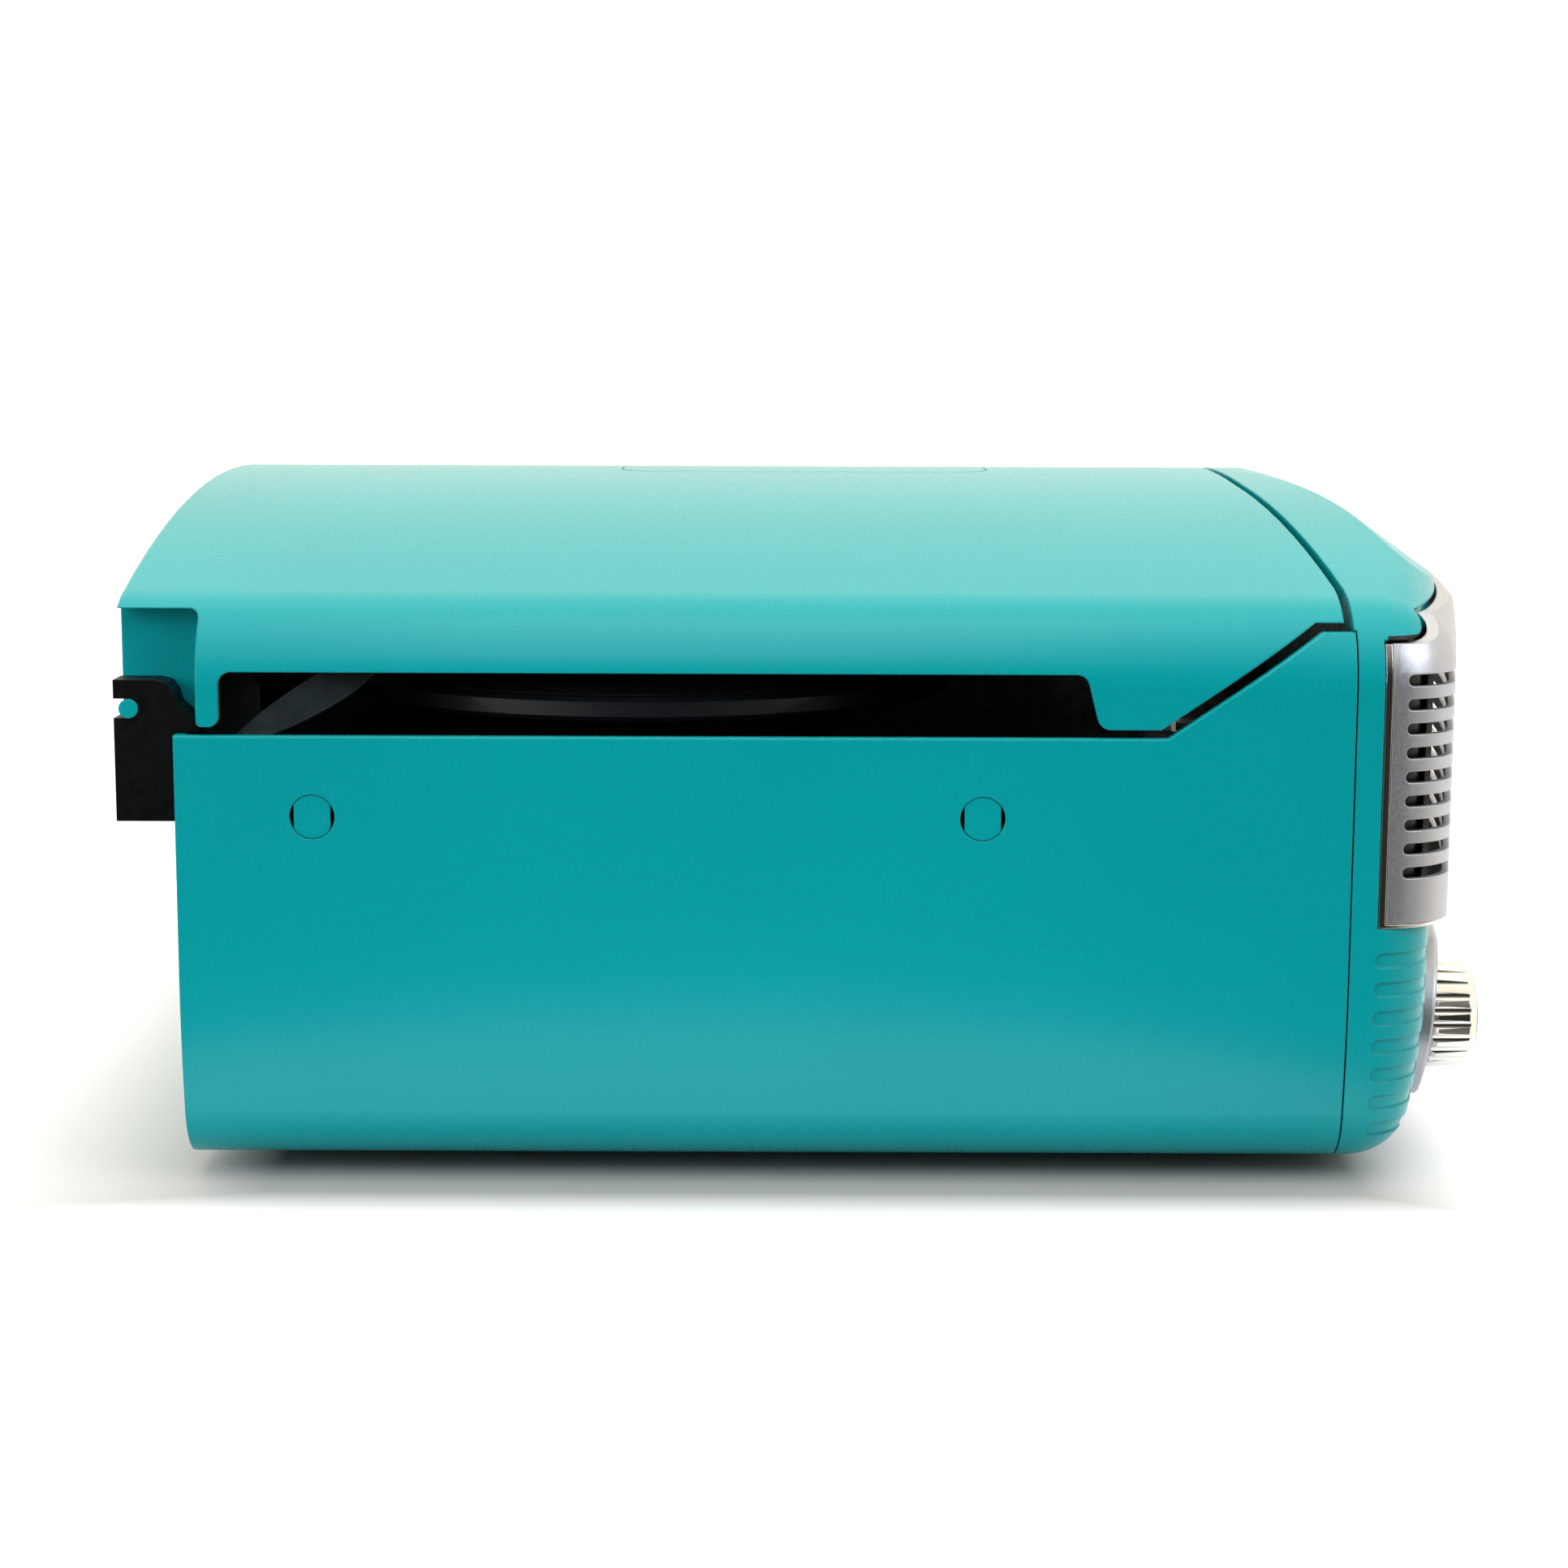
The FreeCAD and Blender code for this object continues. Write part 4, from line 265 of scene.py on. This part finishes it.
def chrome():
    """Bright plating with faint smears."""
    warm, cool = (0.80, 0.79, 0.76), (0.74, 0.74, 0.74)
    paint = Paint("chrome", warm, 0.08, metallic=1.0, edge=0.0004)
    paint.tint(paint.remap(paint.noise(30.0, 3.0), 0.0, 1.0), warm, cool)
    paint.rough(paint.noise(90.0, 5.0), 0.05, 0.12)
    return paint.material


def turned_metal(name, color, rough=0.3):
    """Plated metal with fine lathe marks."""
    paint = Paint(name, color, rough, metallic=1.0, edge=0.0003)
    lines = paint.noise(160.0, 4.0, 0.6, paint.stretch((1.0, 1.0, 18.0)))
    paint.rough(lines, rough - 0.08, rough + 0.1)
    paint.bump(lines, 0.00002, 0.4)
    paint.tint(paint.remap(paint.noise(25.0, 4.0), 0.0, 1.0), color, shade(color, 0.8))
    return paint.material


def rubber(name, color=(0.012, 0.012, 0.012)):
    """Dull rubber with dusty patches."""
    paint = Paint(name, color, 0.75, edge=0.0004, Specular_IOR_Level=0.3)
    paint.tint(paint.remap(paint.noise(60.0, 4.0), 0.0, 1.0), color, shade(color, 1.7))
    paint.rough(paint.noise(200.0, 4.0), 0.62, 0.85)
    paint.bump(paint.noise(2200.0, 3.0), 0.00004, 0.6)
    return paint.material


def cloth(name, color, pitch=0.0011):
    """Coarse speaker cloth: crossed threads with dark holes between them."""
    paint = Paint(name, color, 0.85, Specular_IOR_Level=0.25, Sheen_Weight=0.3)
    x, y, z = paint.axes()
    turn = math.tau / pitch
    across = paint.math("SINE", paint.math("MULTIPLY", paint.math("ADD", x, y), turn))
    along = paint.math("SINE", paint.math("MULTIPLY", z, turn))
    weave = paint.math("MULTIPLY", across, along)
    paint.tint(paint.remap(weave, 0.0, 1.0, -0.4, 0.6), shade(color, 0.2), color)
    paint.bump(weave, 0.0003, 0.8)
    return paint.material


def paper(name, color):
    """Pressed fibre of a speaker cone."""
    paint = Paint(name, color, 0.9)
    fibre = paint.noise(260.0, 6.0, 0.7)
    paint.tint(paint.remap(fibre, 0.0, 1.0), color, shade(color, 1.8))
    paint.bump(fibre, 0.0002, 0.5)
    return paint.material


def glass():
    """Clear dial window with a faint cool edge."""
    paint = Paint("dial_glass", (0.93, 0.97, 0.98), 0.03, Transmission_Weight=1.0, IOR=1.45)
    paint.rough(paint.noise(50.0, 3.0), 0.02, 0.05)
    return paint.material


def dial_face():
    """Cream printed panel, warmer towards its edges."""
    pale, warm = (0.76, 0.70, 0.55), (0.64, 0.55, 0.36)
    per_half_width = 14.0
    paint = Paint("dial_cream", pale, 0.4)
    x, _, _ = paint.axes()
    edge = paint.math("MULTIPLY", paint.math("ABSOLUTE", x), per_half_width)
    paint.tint(paint.remap(edge, 0.0, 1.0, 0.3, 1.0), pale, warm)
    paint.bump(paint.noise(1200.0, 3.0), 0.00002, 0.4)
    return paint.material


def circuit():
    """Green lacquered board with lighter copper tracks."""
    paint = Paint("circuit_green", (0.01, 0.12, 0.05), 0.35, Coat_Weight=0.4)
    tracks = paint.add("ShaderNodeTexBrick")
    for key, value in (("Scale", 90.0), ("Mortar Size", 0.03), ("Color1", (0.01, 0.11, 0.045, 1.0)),
                       ("Color2", (0.008, 0.09, 0.04, 1.0)), ("Mortar", (0.03, 0.24, 0.1, 1.0))):
        tracks.inputs[key].default_value = value
    paint.join(paint.place, tracks.inputs["Vector"])
    paint.join(tracks.outputs["Color"], paint.shader.inputs["Base Color"])
    paint.bump(tracks.outputs["Fac"], 0.00008, 0.5)
    return paint.material


def gloss(name, color, rough=0.28):
    """Smooth moulded plastic under a thin shine."""
    paint = Paint(name, color, rough, edge=0.0004, Coat_Weight=0.2)
    paint.tint(paint.remap(paint.noise(50.0, 3.0), 0.0, 1.0), color, shade(color, 0.85))
    paint.rough(paint.noise(400.0, 4.0), rough - 0.05, rough + 0.08)
    return paint.material


PALETTE = {
    "teal_shell": turquoise(),
    "black_plastic": black_plastic(),
    "satin_silver": satin_silver(),
    "chrome_trim": chrome(),
    "base_board": black_plastic("base_board", 500.0, 0.00012, (0.6, 0.8)),
    "foot_rubber": rubber("foot_rubber"),
    "steel": turned_metal("steel", (0.56, 0.56, 0.57)),
    "brass": turned_metal("brass", (0.78, 0.56, 0.22), 0.26),
    "belt_rubber": rubber("belt_rubber"),
    "adapter_plastic": gloss("adapter_plastic", (0.045, 0.045, 0.05)),
    "arm_alloy": turned_metal("arm_alloy", (0.7, 0.7, 0.72), 0.24),
    "stylus_red": gloss("stylus_red", (0.55, 0.02, 0.015)),
    "mat_rubber": rubber("mat_rubber", (0.016, 0.016, 0.017)),
    "speaker_cloth": cloth("speaker_cloth", (0.012, 0.012, 0.013)),
    "dial_glass": glass(),
    "dial_cream": dial_face(),
    "speaker_paper": paper("speaker_paper", (0.02, 0.02, 0.021)),
    "circuit_green": circuit(),
    "ribbon_grey": rubber("ribbon_grey", (0.006, 0.011, 0.012)),
}
NODE_FINISH = {
    # the bezel carries painted shade, coloured black behind its grille
    "front_bezel": turquoise("turquoise_bezel", painted_shade_behind_grille=True),
    "deck_plate": black_plastic("deck_grain", 900.0, 0.00012, (0.4, 0.6)),
    "platter": gloss("platter_black", (0.012, 0.012, 0.018), 0.40),
}


def dress_nodes():
    """Give every CAD node the finish of its own material slot."""
    for entry in frame["record"]["subparts"]:
        node = entry["node"]
        finish = NODE_FINISH.get(node, PALETTE[entry["material_slot"]])
        mesh = NODES[node].data
        mesh.materials.clear()
        mesh.materials.append(finish)


# ---------------------------------------------------------------- mesh helpers


def new_piece(name, mesh, slot, body=None, smooth=True):
    """Put a finished mesh in the scene with the finish of its slot, riding on a body."""
    piece = bpy.data.objects.new(name, mesh)
    bpy.context.scene.collection.objects.link(piece)
    mesh.materials.append(PALETTE[slot])
    for polygon in mesh.polygons:
        polygon.use_smooth = smooth
    if body:
        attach(piece, body)
    return piece


def mesh_from(name, verts, faces):
    """A mesh from its points and faces."""
    mesh = bpy.data.meshes.new(name)
    mesh.from_pydata([tuple(vert) for vert in verts], [], faces)
    mesh.update()
    return mesh


def lathe(name, profile, place, steps=96):
    """A closed ring turned about its own Z axis; the profile is a closed loop of radius, height."""
    verts, faces = [], []
    count = len(profile)
    for step in range(steps):
        angle = math.tau * step / steps
        for radius, height in profile:
            verts.append(place @ Vector((radius * math.cos(angle), radius * math.sin(angle), height)))
    for step in range(steps):
        near, far = step * count, (step + 1) % steps * count
        for index in range(count):
            after = (index + 1) % count
            faces.append((near + index, far + index, far + after, near + after))
    return mesh_from(name, verts, faces)


def rod_along(path, radius, sides=8):
    """Vertices and faces of a round rod along a path."""
    verts, faces = [], []
    for index, point in enumerate(path):
        ahead = (path[min(index + 1, len(path) - 1)] - path[max(index - 1, 0)]).normalized()
        across = ahead.cross(Vector((1, 0, 0))).normalized()
        upright = across.cross(ahead)
        for side in range(sides):
            angle = math.tau * side / sides
            verts.append(point + radius * (math.cos(angle) * across + math.sin(angle) * upright))
    for index in range(len(path) - 1):
        for side in range(sides):
            after = (side + 1) % sides
            near = index * sides
            faces.append((near + side, near + after, near + sides + after, near + sides + side))
    faces.append(tuple(range(sides))[::-1])
    last = (len(path) - 1) * sides
    faces.append(tuple(range(last, last + sides)))
    return verts, faces


def raised_outline(name, outline, place, depth):
    """A flat outline of x, z points given a little thickness along -Y, then moved to its place."""
    count = len(outline)
    front = [place @ Vector((x, -depth, z)) for x, z in outline]
    back = [place @ Vector((x, 0, z)) for x, z in outline]
    faces = [tuple(range(count)), tuple(range(count, 2 * count))[::-1]]
    faces += [(index, index + count, (index + 1) % count + count, (index + 1) % count)
              for index in range(count)]
    return mesh_from(name, front + back, faces)


def merge(name, meshes):
    """One mesh from several."""
    joined = bmesh.new()
    for mesh in meshes:
        joined.from_mesh(mesh)
    bmesh.ops.recalc_face_normals(joined, faces=joined.faces)
    result = bpy.data.meshes.new(name)
    joined.to_mesh(result)
    joined.free()
    return result


FACE_FRONT = Matrix.Rotation(math.pi / 2, 4, "X")  # turns +Z to face the front


# ---------------------------------------------------------------- detail pieces


def smooth_route(points, steps=8):
    """Points along a NURBS spline that has the given control points."""
    curve = bpy.data.curves.new("route", "CURVE")
    curve.dimensions = "3D"
    spline = curve.splines.new("NURBS")
    spline.points.add(len(points) - 1)
    for control, point in zip(spline.points, points):
        control.co = (*point, 1.0)
    spline.order_u = 3
    spline.use_endpoint_u = True
    spline.resolution_u = steps
    helper = bpy.data.objects.new("route", curve)
    bpy.context.scene.collection.objects.link(helper)
    mesh = bpy.data.meshes.new_from_object(helper.evaluated_get(bpy.context.evaluated_depsgraph_get()))
    bpy.data.objects.remove(helper)
    return [vert.co.copy() for vert in mesh.vertices]


def make_ribbon_cable():
    """Ten joined round conductors that rise from the deck's rear corner into the lid."""
    wires, pitch = 10, 0.00127
    radius = pitch * 0.53
    verts, faces = [], []
    for wire in range(wires):
        step = (wire - (wires - 1) / 2) * pitch
        route = [(-0.2085 + step * 0.2, 0.1790 + step * 0.3, 0.1342),
                 (-0.2087 + step * 0.2, 0.1725 + step * 0.4, 0.1395 + step * 0.3),
                 (-0.2090, 0.1575 + step * 0.6, 0.1480 + step * 0.6),
                 (-0.2080, 0.1425 + step * 0.8, 0.1575 + step * 0.5),
                 (-0.1990, 0.1345 + step, 0.1672), (-0.1910, 0.1310 + step, 0.1738)]
        more, rings = rod_along(smooth_route(route), radius)
        faces += [tuple(index + len(verts) for index in face) for face in rings]
        verts += more
    cable = new_piece("ribbon_cable", mesh_from("ribbon_cable", verts, faces), "ribbon_grey")
    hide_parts("lid_ribbon_cable")
    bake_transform(cable)


def make_rear_seal():
    """Foam strip with a ribbed top on the rear wall's edge, which closes the joint under the lid."""
    foot, crest, back = REAR_WALL_TOP - 0.0003, REAR_WALL_TOP + 0.0062, REAR_Y - 0.0007
    thick, taper, dip = 0.004, 0.0006, 0.0005
    ribs, pitch, corners = 74, 0.005, 4
    verts = []
    for step in range(2 * ribs + 1):
        x = (step - ribs) * pitch / 2
        top = crest - dip * (step % 2)
        verts += [(x, back, foot), (x, back - thick, foot),
                  (x, back - thick + taper, top), (x, back - taper, top)]
    first = tuple(range(corners))
    last = tuple(len(verts) - 1 - side for side in range(corners))
    faces = [first, last]
    for step in range(2 * ribs):
        near, far = step * corners, (step + 1) * corners
        for side in range(corners):
            after = (side + 1) % corners
            faces.append((near + side, far + side, far + after, near + after))
    strip = merge("rear_seal", [mesh_from("seal", verts, faces)])
    new_piece("rear_seal", strip, "mat_rubber", "cabinet", False)


def make_ribbed_mat():
    """Rubber mat with concentric ribs and a plain centre."""
    inner, outer, plain, rim = 0.00425, 0.0968, 0.046, 0.002
    ribs, chamfer = 30, (0.0006, 0.0005)
    bottom, top = low("platter_mat").z, high("platter_mat").z
    crest, groove = top - 0.00012, top - 0.0009
    profile = [(inner, bottom), (inner, crest), (plain, crest)]
    step = (outer - plain - rim) / ribs
    for rib in range(ribs):
        start = plain + rib * step
        profile += [(start + step * 0.12, groove), (start + step * 0.45, groove),
                    (start + step * 0.6, crest), (start + step, crest)]
    profile += [(outer - chamfer[0], top - 0.0001), (outer, crest - chamfer[1]), (outer, bottom)]
    centre = middle("platter")
    place = Matrix.Translation((centre.x, centre.y, 0))
    turned = lathe("ribbed_mat", profile, place, 128)
    mat = new_piece("ribbed_mat", turned, "mat_rubber", "platter", False)
    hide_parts("platter_mat")


def make_knob_faces():
    """Turned rings and a pointer line on each knob's front face."""
    sunk, proud = 0.0001, 0.00012
    for body in ("volume_knob", "tuning_knob"):
        centre = middle(body)
        tip = Matrix.Translation((centre.x, low(body).y, centre.z))
        rings = []
        for radius in (0.0116, 0.0095):
            profile = [(radius, -sunk), (radius + 0.0002, proud),
                       (radius + 0.0005, proud), (radius + 0.0007, -sunk)]
            rings.append(lathe("ring", profile, tip @ FACE_FRONT))
        new_piece(body + "_rings", merge("rings", rings), "satin_silver", body)
        spot = tip @ Matrix.Translation((0, sunk, 0))
        line = rectangle(0.0, 0.00615, 0.0005, 0.00265)
        pointer = raised_outline("pointer", line, spot, sunk + proud)
        new_piece(body + "_pointer", pointer, "black_plastic", body, False)


def rectangle(x, z, half_wide, half_tall):
    """Outline of a rectangle about x, z."""
    return [(x - half_wide, z - half_tall), (x + half_wide, z - half_tall),
            (x + half_wide, z + half_tall), (x - half_wide, z + half_tall)]


def arrow(x, reach, half_tall):
    """Outline of an arrowhead about x that points right."""
    return [(x - reach, -half_tall), (x + reach, 0.0), (x - reach, half_tall)]


def make_button_icons():
    """Generic transport marks pressed into the five buttons."""
    sunk, proud, lift = 0.00022, 0.00003, 0.0002
    stop = rectangle(0.0, 0.0, 0.0016, 0.0016)
    bar = rectangle(0.0034, 0.0, 0.0004, 0.0018)
    play = arrow(0.0, 0.0018, 0.0019)
    ahead = [arrow(-0.0014, 0.0014, 0.0018), arrow(0.0014, 0.0014, 0.0018), bar]
    back = [[(-x, z) for x, z in reversed(shape)] for shape in ahead]
    eject = [[(-0.0024, 0.0), (0.0024, 0.0), (0.0, 0.0022)], rectangle(0.0, -0.0012, 0.0024, 0.0004)]
    for index, shapes in enumerate((back, [play], [stop], ahead, eject), start=1):
        body = "push_button_%d" % index
        place = on_front(middle(body).x, CONTROL_Z + lift, BUTTON_PROUD)
        place.translation.y += sunk
        marks = [raised_outline("mark", shape, place, sunk + proud) for shape in shapes]
        new_piece("button_mark_%d" % index, merge("marks", marks), "black_plastic", body, False)


def text_mesh(words, size, place, depth):
    """Raised lettering as a mesh, upright in the X-Z plane."""
    curve = bpy.data.curves.new("words", "FONT")
    curve.body = words
    curve.size = size
    curve.align_x = "CENTER"
    curve.align_y = "CENTER"
    curve.extrude = depth / 2
    helper = bpy.data.objects.new("words", curve)
    bpy.context.scene.collection.objects.link(helper)
    mesh = bpy.data.meshes.new_from_object(helper.evaluated_get(bpy.context.evaluated_depsgraph_get()))
    bpy.data.objects.remove(helper)
    mesh.transform(place @ FACE_FRONT)
    return mesh


def dial_place(x, z):
    """Where print sits on the bowed scale, clear of it by the thickness of ink."""
    place = on_front(x, z, -SCALE_DEPTH)
    place.translation.y -= 0.00016
    return place


def make_dial_print():
    """Two tuning scales: numbers, ticks and the two base lines."""
    marks = []
    rows = ((0.0125, 0.0053, (88, 92, 96, 100, 104, 108), 1),
            (-0.0175, -0.0100, (54, 60, 80, 100, 130, 160), -1))
    reach, thick, base_thick, line, parts = 0.055, 0.00012, 0.0001, 0.0002, 5
    long_tick, short_tick = 0.0036, 0.002
    for number_z, line_z, numbers, up in rows:
        for index, number in enumerate(numbers):
            x = -reach + 2 * reach * index / (len(numbers) - 1)
            marks.append(text_mesh(str(number), 0.0062, dial_place(x, DIAL_Z + number_z), thick))
        ticks = parts * (len(numbers) - 1)
        for tick in range(ticks + 1):
            x = -reach + 2 * reach * tick / ticks
            half = (short_tick if tick % parts else long_tick) / 2
            shape = rectangle(0.0, up * half, line, half)
            marks.append(raised_outline("tick", shape, dial_place(x, DIAL_Z + line_z), thick))
        for piece in range(ticks):
            x = -reach + 2 * reach * (piece + 0.5) / ticks
            shape = rectangle(0.0, 0.0, reach / ticks + line / 2, line)
            marks.append(raised_outline("base", shape, dial_place(x, DIAL_Z + line_z), base_thick))
    for words, z in (("FM", 0.0205), ("AM", -0.0230)):
        marks.append(text_mesh(words, 0.0058, dial_place(0.0, DIAL_Z + z), thick))
    new_piece("dial_print", merge("dial_print", marks), "black_plastic", "cabinet", False)


def make_jack_rings():
    """Rolled metal collars round the phono sockets and the headphone socket."""
    steps, outer = 48, 0.0062
    bore = JACK_RADIUS + 0.00015
    collar = [(bore, 0.0001), (outer, 0.0001), (outer, 0.0009),
              (0.0057, 0.0014), (0.0048, 0.0014), (bore, 0.0009)]
    collars = []
    for x in (low("rca_jacks").x + JACK_RADIUS, high("rca_jacks").x - JACK_RADIUS):
        for z in (low("rca_jacks").z + JACK_RADIUS, high("rca_jacks").z - JACK_RADIUS):
            place = Matrix.Translation((x, REAR_Y, z)) @ FACE_FRONT.inverted()
            collars.append(lathe("collar", collar, place, steps))
    new_piece("socket_collars", merge("collars", collars), "steel", "cabinet")
    rolled = [(0.0043, -0.0002), (0.0043, 0.0006), (0.0048, 0.0011), (0.0056, 0.0011),
              (outer, 0.0005), (outer, -0.0002)]
    x = middle("headphone_jack").x
    place = Matrix.Translation((x, front_y(x, PLATE_PROUD), CONTROL_Z)) @ FACE_FRONT
    new_piece("phones_ring", lathe("phones_ring", rolled, place, steps), "chrome_trim", "cabinet")


def make_vents():
    """Raised ribs with pointed ends across the rear wall's lower half."""
    count, lowest, pitch = 9, 0.036, 0.007
    left, right, half = 0.020, 0.150, 0.0011
    sunk, depth = 0.0001, 0.0008
    flip = Matrix.Translation((0.0, REAR_Y - sunk, 0.0)) @ Matrix.Scale(-1, 4, (0, 1, 0))
    bars = []
    for index in range(count):
        z = lowest + index * pitch
        outline = [(left, z - half), (right, z - half), (right + half, z),
                   (right, z + half), (left, z + half), (left - half, z)]
        bars.append(raised_outline("vent", outline, flip, depth))
    new_piece("rear_ribs", merge("rear_ribs", bars), "teal_shell", "cabinet", False)


# ---------------------------------------------------------------- studio


def make_camera():
    """Square on to the left side, a little above it, tipped down."""
    place, tilt, roll = (-1.105, 0.012, 0.2617), math.radians(8.7), math.radians(0.2)
    data = bpy.data.cameras.new("camera")
    data.lens = 68.94
    data.clip_end = 20
    camera = bpy.data.objects.new("camera", data)
    bpy.context.scene.collection.objects.link(camera)
    camera.location = place
    aim = Matrix.Rotation(-math.pi / 2, 4, "Z") @ Matrix.Rotation(math.pi / 2 - tilt, 4, "X")
    camera.rotation_euler = (aim @ Matrix.Rotation(roll, 4, "Z")).to_euler()
    bpy.context.scene.camera = camera


def area_light(name, place, aim, size, power, color):
    """A rectangular lamp at a place, turned to aim at a point."""
    data = bpy.data.lights.new(name, "AREA")
    data.color = color
    data.shape = "RECTANGLE"
    data.size, data.size_y = size
    data.energy = power
    lamp = bpy.data.objects.new(name, data)
    lamp.location = place
    lamp.rotation_euler = (Vector(aim) - Vector(place)).to_track_quat("-Z", "Y").to_euler()
    bpy.context.scene.collection.objects.link(lamp)


def make_floor():
    """A pale sheet with a bowed near edge, which glows white a little way out from the object."""
    near, shoulder, far, side = -0.38, -0.10, 5.0, 4.0
    crown, bow, reach, steps = 0.04, 2.2, 0.35, 12
    front = [crown + reach * step / steps for step in range(-steps, steps + 1)]
    arc = [(near + bow * (y - crown) ** 2, y, 0) for y in front]
    verts = [(far, -side, 0), (shoulder, -side, 0), *arc, (shoulder, side, 0), (far, side, 0)]
    mesh = mesh_from("floor", verts, [tuple(range(len(verts)))[::-1]])
    floor = bpy.data.objects.new("floor", mesh)
    bpy.context.scene.collection.objects.link(floor)
    dark, pale = (0.38, 0.38, 0.38), (0.40, 0.40, 0.40)
    paint = Paint("floor_paper", pale, 0.8, Specular_IOR_Level=0.1)
    paint.tint(paint.remap(paint.noise(1.5), 0.0, 1.0), dark, pale)
    x, y, _ = paint.axes()
    beside = paint.remap(paint.math("ABSOLUTE", x), 0.0, 1.0, 0.219, 0.250)
    in_front = paint.remap(y, 1.0, 0.0, -0.215, -0.165)
    behind = paint.remap(y, 0.0, 1.0, 0.17, 0.30)
    lit = paint.math("MAXIMUM", beside, paint.math("MAXIMUM", in_front, behind))
    glow = paint.math("MULTIPLY", lit, 0.85)
    paint.set("Emission Color", (1.0, 1.0, 1.0, 1.0))
    paint.join(glow, paint.shader.inputs["Emission Strength"])
    mesh.materials.append(paint.material)


def make_world():
    """White behind the object; a bright far wall and a dim near one for everything that it reflects."""
    world = bpy.data.worlds.new("world")
    world.use_nodes = True
    tree = world.node_tree
    seen = tree.nodes["Background"]
    seen.inputs["Color"].default_value = (1, 1, 1, 1)
    seen.inputs["Strength"].default_value = 1.0
    room = tree.nodes.new("ShaderNodeBackground")
    room.inputs["Color"].default_value = (1.0, 0.93, 0.80, 1)
    direction = tree.nodes.new("ShaderNodeTexCoord")
    split = tree.nodes.new("ShaderNodeSeparateXYZ")
    tree.links.new(direction.outputs["Generated"], split.inputs["Vector"])
    ramp = tree.nodes.new("ShaderNodeMapRange")
    for key, value in (("From Min", -0.95), ("From Max", 0.1), ("To Min", 0.03), ("To Max", 1.35)):
        ramp.inputs[key].default_value = value
    tree.links.new(split.outputs["X"], ramp.inputs["Value"])
    tree.links.new(ramp.outputs["Result"], room.inputs["Strength"])
    path = tree.nodes.new("ShaderNodeLightPath")
    mix = tree.nodes.new("ShaderNodeMixShader")
    tree.links.new(path.outputs["Is Camera Ray"], mix.inputs["Fac"])
    tree.links.new(room.outputs["Background"], mix.inputs[1])
    tree.links.new(seen.outputs["Background"], mix.inputs[2])
    tree.links.new(mix.outputs["Shader"], tree.nodes["World Output"].inputs["Surface"])
    bpy.context.scene.world = world


def make_studio():
    area_light("top_soft", (0.15, 0.0, 1.5), (0.1, 0, 0), (2.2, 2.6), 11.5, (1.0, 0.92, 0.66))
    area_light("side_soft", (-1.2, 0.1, 1.9), (-0.1, 0, 0.05), (0.8, 2.4), 14, (0.88, 0.94, 1.0))
    area_light("front_soft", (-0.95, -1.15, 0.95), (-0.2, -0.18, 0.13), (1.0, 0.8), 9.5, (0.90, 0.96, 1.0))
    area_light("rear_soft", (-1.15, 1.15, 0.6), (-0.2, 0.2, 0.1), (1.0, 0.8), 8.5, (0.90, 0.96, 1.0))
    bpy.context.scene.view_settings.view_transform = "Standard"


dress_nodes()
make_ribbon_cable()
make_rear_seal()
make_ribbed_mat()
make_knob_faces()
make_button_icons()
make_dial_print()
make_jack_rings()
make_vents()
make_camera()
make_floor()
make_world()
make_studio()
